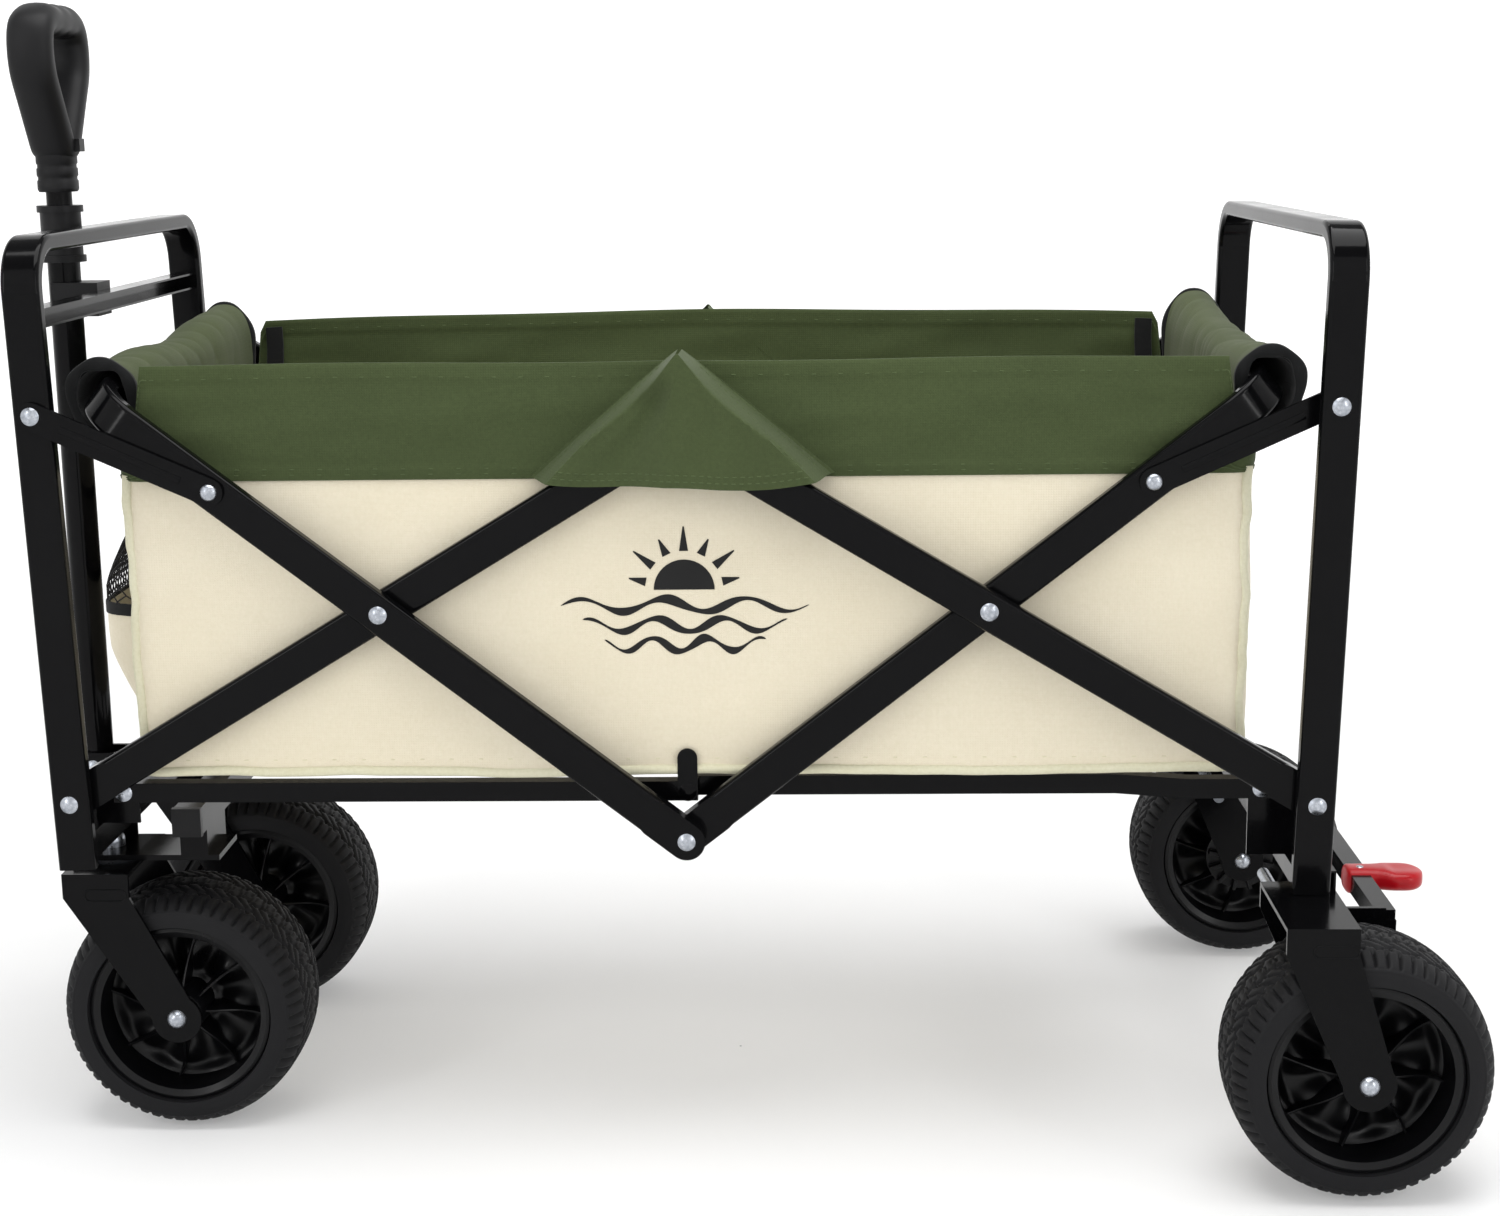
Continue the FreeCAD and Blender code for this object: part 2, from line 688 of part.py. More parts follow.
def rail_lug(name, side, foot_x, foot_z):
    """side is -1 in front and 1 behind; the lug rises from a cross beam to the rail's pivot."""
    far_x = "%d * (rail_pivot_reach - rail_height / 2)" % side
    base_x = foot_x
    xs = (base_x, far_x) if side < 0 else (far_x, base_x)
    plate = block(name + "_plate", xs, lug_y, (foot_z, "rail_pivot_height + rail_height / 2"))
    hole = pin_hole(name + "_hole", ("%d * rail_pivot_reach" % side, "rail_pivot_height"), WIDE)
    return both_sides(name, cut(name + "_near", plate, hole))


front_lugs = rail_lug("front_rail_lugs", -1, "-front_beam_reach + beam_height / 2 - 6",
                      "front_beam_top - bar_wall")
finish(fuse("front_beam", front_beam, front_lugs), "front_beam")
rear_lugs = rail_lug("rear_rail_lugs", 1, "rear_beam_reach", "fork_top + rear_beam_thick - bar_wall")
finish(fuse("rear_beam", rear_beam, rear_lugs), "rear_beam")

# yoke and pin of the handle's lower hinge
yoke_out = "(handle_radius + slide_play + yoke_thick)"
yoke_z = ("handle_foot", "handle_pivot_height + 12")
yoke = cut("handle_yoke",
           block("yoke_block", ("-handle_reach - handle_radius", "-front_beam_reach - beam_height / 2"),
                 across(yoke_out), yoke_z),
           block("yoke_gap", ("-handle_reach - 40", "-handle_reach + handle_radius + 8"),
                 across("(handle_radius + slide_play)"),
                 ("handle_foot - 40", "handle_pivot_height + 40")),
           rod("yoke_hole", "Y", ("-handle_reach", "handle_pivot_height"), "rivet_radius + pin_play",
               WIDE))
finish(yoke, "handle_yoke")
handle_pin = fuse("handle_pin_solid",
                  rod("handle_pin_shank", "Y", ("-handle_reach", "handle_pivot_height"), "rivet_radius",
                      ("-%s" % yoke_out, yoke_out)),
                  dome("handle_pin_near", ("-handle_reach", "handle_pivot_height"), "-%s" % yoke_out,
                       -1, "rivet_head", "head_height"),
                  dome("handle_pin_far", ("-handle_reach", "handle_pivot_height"), yoke_out, 1,
                       "rivet_head", "head_height"))

# rivets of the end frames: lower bar pivots, link pivots and rail pivots
FRONT_OUT = "outer_bar_y + bar_depth / 2"
REAR_OUT = "rear_post_y + bar_depth / 2"
BAR_IN = "inner_bar_y - bar_depth / 2"
RAIL_IN = "(front_rail_y - rail_depth / 2 - link_gap - lug_thick)"
RAIL_OUT = "front_rail_y + rail_depth / 2"
front_rivets = both_sides("front_side_rivets", group("front_rivets_near",
       rivet("front_low_rivet", ("-pivot_reach", "pivot_height"), BAR_IN + " + 0.4", FRONT_OUT,
             inner_head=False),
       rivet("front_link_rivet", ("-link_post_x", "link_post_height"), "outer_bar_y",
             "front_link_in + link_thick", inner_head=False),
       rivet("front_rail_rivet", ("-rail_pivot_reach", "rail_pivot_height"), RAIL_IN, RAIL_OUT)))
finish(group("front_rivets", front_rivets, handle_pin), "front_rivets")
finish(both_sides("rear_rivets", group("rear_rivets_near",
       rivet("rear_low_rivet", ("pivot_reach", "pivot_height"), "rear_bar_y - bar_depth / 2 + 0.4",
             REAR_OUT, inner_head=False),
       rivet("rear_link_rivet", ("link_post_x", "link_post_height"), "rear_link_in", REAR_OUT),
       rivet("rear_rail_rivet", ("rail_pivot_reach", "rail_pivot_height"), RAIL_IN, RAIL_OUT))),
       "rear_rivets")

# ---- scissor frame -------------------------------------------------------------------------

X_CROSS = {-1: "-cross_reach", 1: "cross_reach"}


def long_bar(name, side, middle_y, slope, gusset_slope, gusset_y):
    """A lower bar: straight tube from its foot pivot past the crossing, with a top hinge plate."""
    foot = ("%d * pivot_reach" % side, "pivot_height")
    tube = slope_body(straight_tube(name + "_tube", middle_y, "bar_width / 2",
                                    "bar_reach - bar_width / 2"), slope, *foot)
    end = ("%d * bar_end_x" % side, "bar_end_z")
    hinge = strap(name + "_gusset", end, "gusset_run", gusset_slope, "gusset_width", gusset_y)
    back = strap(name + "_tip",
                 (foot[0] + " + (bar_reach - bar_width) * cos(%s)" % slope,
                  foot[1] + " + (bar_reach - bar_width) * sin(%s)" % slope),
                 "bar_width", slope, "bar_width", bar_layer(middle_y))
    solid = fuse(name + "_solid", tube, tongue(name + "_foot", foot, slope, middle_y), back, hinge)
    holes = [pin_hole(name + "_foot_hole", foot, WIDE),
             pin_hole(name + "_cross_hole", (X_CROSS[side], "cross_height"), WIDE),
             pin_hole(name + "_top_hole", ("0", "top_pivot_height"), WIDE)]
    return both_sides(name, cut(name + "_near", solid, *holes))


inner_half = ("-inner_bar_y - bar_depth / 2", "-inner_bar_y")
rear_half = ("-rear_bar_y", "-rear_bar_y + bar_depth / 2")
finish(long_bar("front_lower_bars", -1, "inner_bar_y", "lower_slope", "gusset_slope", inner_half),
       "front_lower_bars")
finish(long_bar("rear_lower_bars", 1, "rear_bar_y", "lower_turn", "gusset_turn", rear_half),
       "rear_lower_bars")


def u_tube(name, side, middle_y, slope):
    """An upper bar pair: two arms from the low centre pivot up to the basket's end rail."""
    arms = slope_body(bent_tube(name + "_bent", "tube_reach", middle_y), slope, "0", "low_pivot_height")
    start = cut(name + "_trimmed", arms,
                block(name + "_trim", ("-bar_width", "bar_width"), ("-250", "250"),
                      ("low_pivot_height - bar_width", "low_pivot_height + 9")))
    near = tongue(name + "_tongue", ("0", "low_pivot_height"), slope, middle_y)
    far = doc.addObject("Part::Mirroring", name + "_tongue_far")
    far.Source = near
    far.Normal = FreeCAD.Vector(0, 1, 0)
    bar_x = "%d * link_bar_x" % side
    holes = [pin_hole(name + "_low_hole", ("0", "low_pivot_height"), WIDE),
             pin_hole(name + "_cross_hole", (X_CROSS[side], "cross_height"), WIDE)]
    if side > 0:
        holes.append(pin_hole(name + "_link_hole", (bar_x, "link_bar_z"), WIDE))
    return cut(name, fuse(name + "_solid", start, near, far), *holes)


finish(u_tube("front_u_tube", -1, "outer_bar_y", "upper_turn"), "front_u_tube")
finish(u_tube("rear_u_tube", 1, "inner_bar_y", "upper_slope"), "rear_u_tube")

REAR_BAR_OUT = "rear_bar_y + bar_depth / 2"
finish(both_sides("front_u_rivets", group("front_u_rivets_near",
       rivet("front_cross_rivet", ("-cross_reach", "cross_height"), BAR_IN, FRONT_OUT),
       rivet("low_pivot_rivet", ("0", "low_pivot_height"), BAR_IN, FRONT_OUT))), "front_u_rivets")
finish(both_sides("rear_bar_rivets", group("rear_bar_rivets_near",
       rivet("rear_cross_rivet", ("cross_reach", "cross_height"), BAR_IN, REAR_BAR_OUT),
       rivet("top_pivot_rivet", ("0", "top_pivot_height"), "inner_bar_y", "rear_bar_y"))),
       "rear_bar_rivets")

# links from the posts to the upper bars, with a pressed rib; each bar end is held by a stud of the link
def link(name, side, inner_y, slope):
    flat = ("-(%s) - link_thick" % inner_y, "-(%s)" % inner_y)
    bar_end = ("%d * link_bar_x" % side, "link_bar_z")
    strip = strap(name + "_strip", bar_end, "link_run", slope, "link_width", flat)
    stud = dome(name + "_stud", bar_end, flat[0], -1, "rivet_head", "head_height")
    hole = pin_hole(name + "_post_hole", ("%d * link_post_x" % side, "link_post_height"), WIDE)
    return both_sides(name, cut(name + "_near", fuse(name + "_solid", strip, stud), hole))


finish(link("front_links", -1, "front_link_in", "link_turn"), "front_links")
finish(link("rear_links", 1, "rear_link_in", "link_slope"), "rear_links")

# ---- bottom rails and the floor boards they carry --------------------------------------------


def rail_body(name, points):
    body = new_body(name)
    drawn = outline(sketch(body, "XY_Plane", name + "_plan"), points)
    pad(body, drawn, "rail_height")
    return tie(body, Placement__Base__z="rail_pivot_height")


def rail_plan(side, middle_y, kinked):
    """The rail from above, from its pivot to the middle of the cart, near side."""
    half = "rail_depth / 2"
    route = [("%d * (rail_pivot_reach + rail_height / 2)" % side, "-front_rail_y")]
    if kinked:
        route += [("%d * joggle_end" % side, "-front_rail_y"),
                  ("%d * joggle_start" % side, "-(%s)" % middle_y)]
    route.append(("%d * (-rail_height / 2)" % side, "-(%s)" % middle_y))
    outer = [(x, "%s - %s" % (y, half)) for x, y in route]
    inner = [(x, "%s + %s" % (y, half)) for x, y in reversed(route)]
    return outer + inner


def rail(name, side, middle_y, kinked):
    solid = rail_body(name + "_bar", rail_plan(side, middle_y, kinked))
    end_hole = pin_hole(name + "_end_hole", ("%d * rail_pivot_reach" % side, "rail_pivot_height"), WIDE)
    return both_sides(name, cut(name + "_near", solid, end_hole))


front_rails = rail("front_rail_pair", -1, "front_rail_y", False)
finish(rail("rear_rails", 1, "rear_rail_y", True), "rear_rails")
RAIL_FACE = "-(%s)" % RAIL_OUT
PLATE_FACE = RAIL_FACE + " - centre_plate_thick"
centre_plate = strap("centre_plate", ("0", "rail_pivot_height"), "centre_plate_run", "90",
                     "rail_height",
                     (PLATE_FACE, RAIL_FACE))
centre_head = dome("centre_head", ("0", "rail_pivot_height"), PLATE_FACE, -1, "rivet_head",
                   "head_height / 2")
centre_plates = both_sides("rail_centre_plates", fuse("rail_centre_plate", centre_plate, centre_head))
finish(fuse("front_rails", front_rails, centre_plates), "front_rails")

board_z = ("basket_floor + cloth_thick", "basket_floor + cloth_thick + board_thick")
for label, side in (("front_floor_board", -1), ("rear_floor_board", 1)):
    ends = ("%d * (rail_pivot_reach - board_reach)" % side,
            "%d * (basket_reach - cloth_thick - 6)" % side)
    board_x = ends if side > 0 else (ends[1], ends[0])
    finish(group(label, block(label + "_panel", board_x, across("board_half"), board_z)), label)

# ---- wheels --------------------------------------------------------------------------------


def tyre(label, x, y):
    """A hollow tread ring open towards the rim: crown, shoulders, side walls and beads."""
    body = new_body(label)
    seat, lip = "rim_radius", "rim_lip + 0.2"
    inside = "(wheel_radius - tyre_thick)"
    bead = "(wheel_half - 6)"
    upper = [(seat, bead), (lip, bead), (lip, "wheel_half - 2.5"),
             ("(shoulder_radius + rim_lip) / 2", "wheel_half"),
             ("shoulder_radius", "wheel_half - 3"), ("wheel_radius - 1.5", "wheel_half - 13"),
             ("wheel_radius", "wheel_half * 0.3")]
    lower = [(r, "-(%s)" % h) for r, h in reversed(upper)]
    hollow = [(seat, "-%s + 7" % bead), ("rim_lip + 3", "-%s + 7" % bead),
              (inside + " - 5", "-(wheel_half - 9)"),
              (inside, "-(wheel_half - 16)"), (inside, "wheel_half - 16"),
              (inside + " - 5", "wheel_half - 9"),
              ("rim_lip + 3", "%s - 7" % bead), (seat, "%s - 7" % bead)]
    drawn = outline(sketch(body, "XY_Plane", label + "_section"), upper + lower + hollow)
    revolve(body, drawn)
    return finish(body, label, x, y, "wheel_radius")


def rim(label, x, y, inner_side):
    """A moulded dish: barrel with lips, web, eight ribs and a hub; a rear rim adds the lock ring."""
    body = new_body(label)
    lip_out, lip_in = "wheel_half - 2.5", "(wheel_half - 6)"
    deep = "rim_radius - rim_wall"
    half_hub = "(wheel_half)"
    section_points = [("bush_radius", "-" + half_hub), ("hub_radius", "-" + half_hub),
                      ("hub_radius", "-web_half"), (deep, "-web_half"),
                      (deep, "-(%s)" % lip_out), ("rim_lip", "-(%s)" % lip_out),
                      ("rim_lip", "-" + lip_in), ("rim_radius", "-" + lip_in),
                      ("rim_radius", lip_in), ("rim_lip", lip_in), ("rim_lip", lip_out),
                      (deep, lip_out), (deep, "web_half"),
                      ("hub_radius", "web_half"), ("hub_radius", half_hub), ("bush_radius", half_hub)]
    revolve(body, outline(sketch(body, "XY_Plane", label + "_section"), section_points))
    rib = sketch(body, "XZ_Plane", label + "_rib")
    ends = ("hub_radius - 1", "rim_radius - rim_wall / 2")
    half = "spoke_thick / 2"
    outline(rib, [(ends[0], "-" + half), (ends[1], "-" + half), (ends[1], half), (ends[0], half)])
    around(body, pad(body, rib, "2 * spoke_half"), 8)
    if inner_side:
        boss = ring(sketch(body, "XZ_Plane", label + "_boss"), "0", "0", "lug_ring_inner + 0.5")
        ring(boss, "0", "0", "bush_radius + 1")
        middle = "(wheel_half + web_half) / 2"
        tie(boss, AttachmentOffset__Base__z="-%d * (%s)" % (inner_side, middle))
        pad(body, boss, "wheel_half - web_half")
        lug = sketch(body, "XZ_Plane", label + "_lug")
        lug_half = "lug_width / 2"
        outline(lug, [("lug_ring_inner", "-" + lug_half), ("lug_ring_radius", "-" + lug_half),
                      ("lug_ring_radius", lug_half), ("lug_ring_inner", lug_half)])
        tie(lug, AttachmentOffset__Base__z="-%d * (wheel_half - 1.6)" % inner_side)
        tie(lug, AttachmentOffset__Rotation__Angle="lug_phase")
        around(body, pad(body, lug, "6"), 12)
    return finish(body, label, x, y, "wheel_radius")


def bushes(label, x, y):
    """Two flanged bushes, one in each end of the hub."""
    pieces = []
    for k, way in enumerate(("-1", "1")):
        seat = ("%s * wheel_half" % way, "%s * (wheel_half - 16)" % way)
        flange = ("%s * (wheel_half + bush_flange)" % way, "%s * wheel_half" % way)
        order = lambda pair: pair if way == "-1" else (pair[1], pair[0])
        sleeve = rod("%s_sleeve%d" % (label, k), "Y", ("0", "0"), "bush_radius", order(seat))
        collar = rod("%s_collar%d" % (label, k), "Y", ("0", "0"), "hub_radius - 2", order(flange))
        bore = rod("%s_bore%d" % (label, k), "Y", ("0", "0"), "axle_radius + pin_play", WIDE)
        pieces.append(cut("%s_bush%d" % (label, k), fuse("%s_solid%d" % (label, k), sleeve, collar),
                          bore))
    return finish(group(label, *pieces), label, x, y, "wheel_radius")


def axle(label, x, y, outer_side):
    """A bolt through the fork and the wheel, its domed nut on the outer leg."""
    half = "(fork_half + sheet_thick)"
    shank = rod(label + "_shank", "Y", ("0", "0"), "axle_radius", ("-" + half, half))
    near = dome(label + "_near", ("0", "0"), "-" + half, -1, "axle_radius + 3", "5")
    far = dome(label + "_far", ("0", "0"), half, 1, "axle_radius + 3", "5")
    return finish(fuse(label, shank, near, far), label, x, y, "wheel_radius")


def fork(label, x, y, trail, pin):
    """Pressed steel: a top plate and two legs that narrow to a round end at the axle."""
    body = new_body(label)
    side = outline(sketch(body, "XZ_Plane", label + "_side"),
                   [("-fork_half_plate", "fork_shoulder"),
                    ("%s - fork_end_radius" % trail, "wheel_radius"),
                    ("%s + fork_end_radius" % trail, "wheel_radius"),
                    ("fork_half_plate", "fork_shoulder"),
                    ("fork_half_plate", "fork_top"), ("-fork_half_plate", "fork_top")])
    pad(body, side, "2 * (fork_half + sheet_thick)")
    pad(body, ring(sketch(body, "XZ_Plane", label + "_end"), trail, "wheel_radius", "fork_end_radius"),
        "2 * (fork_half + sheet_thick)")
    gap = outline(sketch(body, "XZ_Plane", label + "_gap"),
                  [("-100", "-10"), ("150", "-10"), ("150", "fork_top - sheet_thick"),
                   ("-100", "fork_top - sheet_thick")])
    pocket(body, gap, "2 * fork_half")
    pocket(body,
           ring(sketch(body, "XZ_Plane", label + "_axle"), trail, "wheel_radius",
                "axle_radius + pin_play"))
    if pin:
        pocket(body,
               ring(sketch(body, "XY_Plane", label + "_kingpin"), "0", "0",
                    "kingpin_radius + pin_play"))
    return finish(body, label, x, y, "0")


for side_name, way in (("near", "-"), ("far", "")):
    front_y = way + "front_wheel_y"
    rear_y = way + "rear_wheel_y"
    inward = 1 if way else -1
    fork("front_fork_" + side_name, "-kingpin_reach", front_y, "front_trail", True)
    tyre("front_tyre_" + side_name, "-front_hub_reach", front_y)
    rim("front_rim_" + side_name, "-front_hub_reach", front_y, 0)
    bushes("front_bushes_" + side_name, "-front_hub_reach", front_y)
    axle("front_axle_" + side_name, "-front_hub_reach", front_y, -inward)
    fork("rear_fork_" + side_name, "rear_plate_reach", rear_y, "rear_trail", False)
    tyre("rear_tyre_" + side_name, "rear_hub_reach", rear_y)
    rim("rear_rim_" + side_name, "rear_hub_reach", rear_y, inward)
    bushes("rear_bushes_" + side_name, "rear_hub_reach", rear_y)
    axle("rear_axle_" + side_name, "rear_hub_reach", rear_y, -inward)

# ---- brake -----------------------------------------------------------------------------------

pivot_at = ("brake_pivot_reach", "brake_pivot_height")
LEG_IN = "(rear_wheel_y - fork_half - sheet_thick)"
finish(both_sides("brake_rods",
                  rod("brake_rod", "Y", pivot_at, "brake_rod_radius",
                      ("-" + LEG_IN, "-brake_rod_end"))), "brake_rods")

bar_x = around_x("brake_bar_reach", "brake_bar_side")
bar_z = around_x("brake_bar_height", "brake_bar_side")
arm_y = ("-brake_arm_outer", "-brake_arm_outer + brake_arm_thick")
arm_eye = rod("arm_eye", "Y", pivot_at, "brake_rod_radius + 4", arm_y)
arm_hole = rod("arm_hole", "Y", pivot_at, "brake_rod_radius + pin_play", WIDE)
arm_bar = block("arm_bar", ("brake_pivot_reach", "brake_bar_reach"), arm_y,
                ("brake_pivot_height - 8.5", "brake_pivot_height + 4"))
pawl_leg = block("pawl_leg", ("lock_pin_reach - 6", "lock_pin_reach + 5"), arm_y,
                 ("lock_pin_height - 4", "brake_bar_height"))
lock_pin = rod("lock_pin", "Y", ("lock_pin_reach", "lock_pin_height"), "lock_pin_radius",
               ("-(rear_wheel_y - wheel_half + 5)", "-brake_arm_outer + brake_arm_thick"))
arm = cut("brake_arm", fuse("brake_arm_solid", arm_eye, arm_bar, pawl_leg, lock_pin), arm_hole)
cross_bar = block("brake_cross_bar", bar_x, across("(brake_arm_outer - brake_arm_thick / 2)"), bar_z)
finish(fuse("brake_lever", cross_bar, both_sides("brake_arms", arm)), "brake_lever")

pedal_y_span = ("-pedal_y - pedal_width / 2", "-pedal_y + pedal_width / 2")
saddle_x = around_x("brake_bar_reach", "brake_bar_side + 8")
saddle = block("pedal_saddle", saddle_x, ("-pedal_y - 13", "-pedal_y + 13"),
               (bar_z[0] + " - 2", bar_z[1] + " + 4"))
paddle = block("pedal_paddle", ("brake_bar_reach", "pedal_reach - 9"), pedal_y_span,
               (bar_z[1] + " - pedal_thick + 4", bar_z[1] + " + 4"))
paddle_tip = rod("pedal_tip", "Y", ("pedal_reach - 9", bar_z[1] + " - 3"), "7", pedal_y_span)
saddle_slot = block("pedal_slot", around_x("brake_bar_reach", "brake_bar_side"), ("-200", "0"),
                    (bar_z[0] + " - 9", bar_z[1]))
finish(cut("brake_pedal", fuse("brake_pedal_solid", saddle, paddle, paddle_tip), saddle_slot),
       "brake_pedal")

# ---- handle ----------------------------------------------------------------------------------

axis_xy = ("-handle_reach", "0")
outer_tube = cut("handle_outer_tube",
                 rod("handle_outer_rod", "Z", axis_xy, "handle_radius",
                     ("handle_foot", "collar_bottom + 6")),
                 rod("handle_outer_bore", "Z", axis_xy, "handle_radius - handle_wall",
                     ("handle_pivot_height + 16", "collar_top")),
                 rod("handle_hinge_hole", "Y", ("-handle_reach", "handle_pivot_height"),
                     "rivet_radius + pin_play", WIDE))
finish(outer_tube, "handle_outer_tube")
collar = cut("handle_collar",
             fuse("collar_solid",
                  rod("collar_body", "Z", axis_xy, "collar_radius", ("collar_bottom", "collar_top")),
                  rod("collar_low_flange", "Z", axis_xy, "collar_radius + 2",
                      ("collar_bottom", "collar_bottom + 5")),
                  rod("collar_top_flange", "Z", axis_xy, "collar_radius + 2",
                      ("collar_top - 5", "collar_top"))),
             rod("collar_seat", "Z", axis_xy, "handle_radius",
                 ("collar_bottom - 1", "collar_bottom + 6")),
             rod("collar_bore", "Z", axis_xy, "inner_radius + slide_play",
                 ("collar_bottom", "collar_top + 1")))
finish(collar, "handle_collar")
inner_tube = cut("handle_inner_tube",
                 rod("handle_inner_rod", "Z", axis_xy, "inner_radius",
                     ("inner_foot", "grip_foot + 26")),
                 rod("handle_inner_bore", "Z", axis_xy, "inner_radius - handle_wall",
                     ("inner_foot - 1", "grip_foot + 27")))
finish(inner_tube, "handle_inner_tube")
guide = cut("handle_guide",
            rod("guide_disc", "Z", axis_xy, "handle_radius - handle_wall - slide_play",
                ("inner_foot - 14", "inner_foot")),
            rod("guide_bore", "Z", axis_xy, "inner_radius - 3", ("inner_foot - 15", "inner_foot + 1")))
finish(guide, "handle_guide")

grip = new_body("grip_loop")
ear = "grip_half_width"
height = "grip_top"
foot = "grip_foot"
grip_outline = [("-15", foot), ("15", foot), ("19", foot + " + 26"), (ear, foot + " + 84"),
                (ear, foot + " + 112"), (ear + " - 18", height),
                ("-(%s) + 18" % ear, height), ("-(%s)" % ear, foot + " + 112"),
                ("-(%s)" % ear, foot + " + 84"), ("-19", foot + " + 26")]
pad(grip, outline(sketch(grip, "YZ_Plane", "grip_side"), grip_outline), "grip_depth")
grip_hole = [("-6", foot + " + 44"), ("6", foot + " + 44"), (ear + " - 24", foot + " + 84"),
             (ear + " - 24", foot + " + 101"), (ear + " - 32", height + " - 26"),
             ("-(%s) + 32" % ear, height + " - 26"), ("-(%s) + 24" % ear, foot + " + 101"),
             ("-(%s) + 24" % ear, foot + " + 84")]
pocket(grip, outline(sketch(grip, "YZ_Plane", "grip_gap"), grip_hole))
tie(grip, Placement__Base__x="-handle_reach")
fillet(grip, lambda edge: abs(direction(edge).x) < 0.1, "7")
grip_bore = rod("grip_bore", "Z", axis_xy, "inner_radius", ("grip_foot - 1", "grip_foot + 26"))
button_way = block("button_way", ("-handle_reach + 6", "-handle_reach + grip_depth"), across("6.3"),
                   ("grip_foot + 29", "grip_foot + 39"))
finish(cut("handle_grip", grip, grip_bore, button_way), "handle_grip")
button_x = ("-handle_reach + 9", "-handle_reach + grip_depth / 2 + 2")
button = block("button_block", button_x, across("6"), ("grip_foot + 29.3", "grip_foot + 38.7"))
finish(group("release_button", button), "release_button")

# ---- basket ------------------------------------------------------------------------------------

side_x = across("basket_reach")
shell = hollow_block("basket_shell", side_x, across("basket_half"), ("basket_floor", "basket_band"),
                     "cloth_thick")
finish(shell, "basket_shell")
low_band = cut("band_ring",
               block("band_outer", side_x, across("basket_half"), ("basket_band", "end_band_top")),
               block("band_inner", across("(basket_reach - cloth_thick)"), across("panel_out"),
                     ("basket_band - 1", "end_band_top + 1")))
strip_x = across("(rail_reach - bar_width - sleeve_thick)")
near_strip = block("band_near", strip_x, ("-basket_half", "-panel_out"), ("end_band_top", "basket_top"))
far_strip = block("band_far", strip_x, ("panel_out", "basket_half"), ("end_band_top", "basket_top"))
band = fuse("basket_band_cloth", low_band, near_strip, far_strip)

apron_body = new_body("apron_flap")
apron_points = [("-apron_half", "apron_bottom"), ("apron_half", "apron_bottom"),
                ("4", "basket_top + 6"), ("-4", "basket_top + 6")]
pad(apron_body, outline(sketch(apron_body, "XZ_Plane", "apron_front"), apron_points), "cloth_thick")
tie(apron_body, Placement__Base__y="-rear_bar_y - bar_depth / 2 - head_height - apron_gap")
finish(group("basket_top_band", band, both_sides("basket_aprons", apron_body)), "basket_top_band")


def sleeve(label, side, slope):
    """A padded cloth sleeve round an end rail, turned with the rail."""
    rail_x = "%d * rail_reach" % side
    pieces = []
    for name, extra in (("_skin", "sleeve_play + sleeve_thick"), ("_inside", "sleeve_play")):
        box = doc.addObject("Part::Box", label + name)
        box.Placement.Rotation = FreeCAD.Rotation(Y_DOWN, 10)
        wide, deep = "(bar_width / 2 + %s)" % extra, "(bar_depth / 2 + %s)" % extra
        tie(box, Length="2 * " + deep, Height="2 * " + wide, Width="2 * sleeve_half")
        tie(box, Placement__Rotation__Angle=slope, Placement__Base__y="-sleeve_half")
        tie(box,
            Placement__Base__x="%s - %s * cos(%s) + %s * sin(%s)" % (rail_x, deep, slope, wide, slope))
        tie(box,
            Placement__Base__z="rail_rise - %s * sin(%s) - %s * cos(%s)" % (deep, slope, wide, slope))
        pieces.append(box)
    return finish(cut(label, *pieces), label)


sleeve("front_sleeve", -1, "upper_turn")
sleeve("rear_sleeve", 1, "upper_slope")

pocket_x = ("-basket_reach - pocket_depth", "-basket_reach - 0.3")
finish(hollow_block("front_pocket", pocket_x, across("pocket_half"), ("pocket_bottom", "pocket_top"),
                    "2"), "front_pocket")

# ---- check and write -----------------------------------------------------------------------------

doc.recompute()
failed = [thing.Name for thing in doc.Objects if "Invalid" in thing.State or "Error" in thing.State]
if failed:
    raise RuntimeError("failed: " + ", ".join(failed))
for node in nodes:
    if node.Shape.isNull() or not node.Shape.isValid():
        raise RuntimeError("bad shape: " + node.Label)
os.makedirs("parts", exist_ok=True)
for node in nodes:
    node.Shape.exportStep("parts/%s.step" % node.Label)
print("wrote", len(nodes), "sub-parts")
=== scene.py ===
"""The looks of a folding beach cart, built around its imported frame.

Lengths are metres, in the frame's own axes: +X runs from the pull handle to the brake, +Z is up.
"""

import json
import math

import bmesh
import bpy
import numpy as np
from mathutils import Matrix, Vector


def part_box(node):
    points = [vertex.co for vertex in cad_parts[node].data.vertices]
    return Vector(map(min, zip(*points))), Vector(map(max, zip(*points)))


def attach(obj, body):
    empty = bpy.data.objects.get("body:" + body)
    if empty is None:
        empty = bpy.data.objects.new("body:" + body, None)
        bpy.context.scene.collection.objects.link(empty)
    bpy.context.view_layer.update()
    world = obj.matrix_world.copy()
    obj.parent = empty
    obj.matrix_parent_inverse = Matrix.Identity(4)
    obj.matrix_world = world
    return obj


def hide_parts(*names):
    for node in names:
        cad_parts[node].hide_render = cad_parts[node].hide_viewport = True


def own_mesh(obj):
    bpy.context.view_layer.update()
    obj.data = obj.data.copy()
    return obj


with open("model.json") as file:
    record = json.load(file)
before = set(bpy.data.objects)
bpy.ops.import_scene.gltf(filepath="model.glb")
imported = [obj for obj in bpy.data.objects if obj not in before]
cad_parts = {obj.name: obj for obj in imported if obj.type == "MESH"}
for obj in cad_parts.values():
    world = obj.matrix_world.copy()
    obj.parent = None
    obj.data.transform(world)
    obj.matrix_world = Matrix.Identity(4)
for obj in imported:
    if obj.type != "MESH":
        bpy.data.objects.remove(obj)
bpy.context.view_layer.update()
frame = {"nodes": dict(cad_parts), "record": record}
rng = np.random.default_rng(7)

MM = 0.001
TAU = 2 * math.pi
TURN_STEPS = 12  # points on each rounded corner of a path


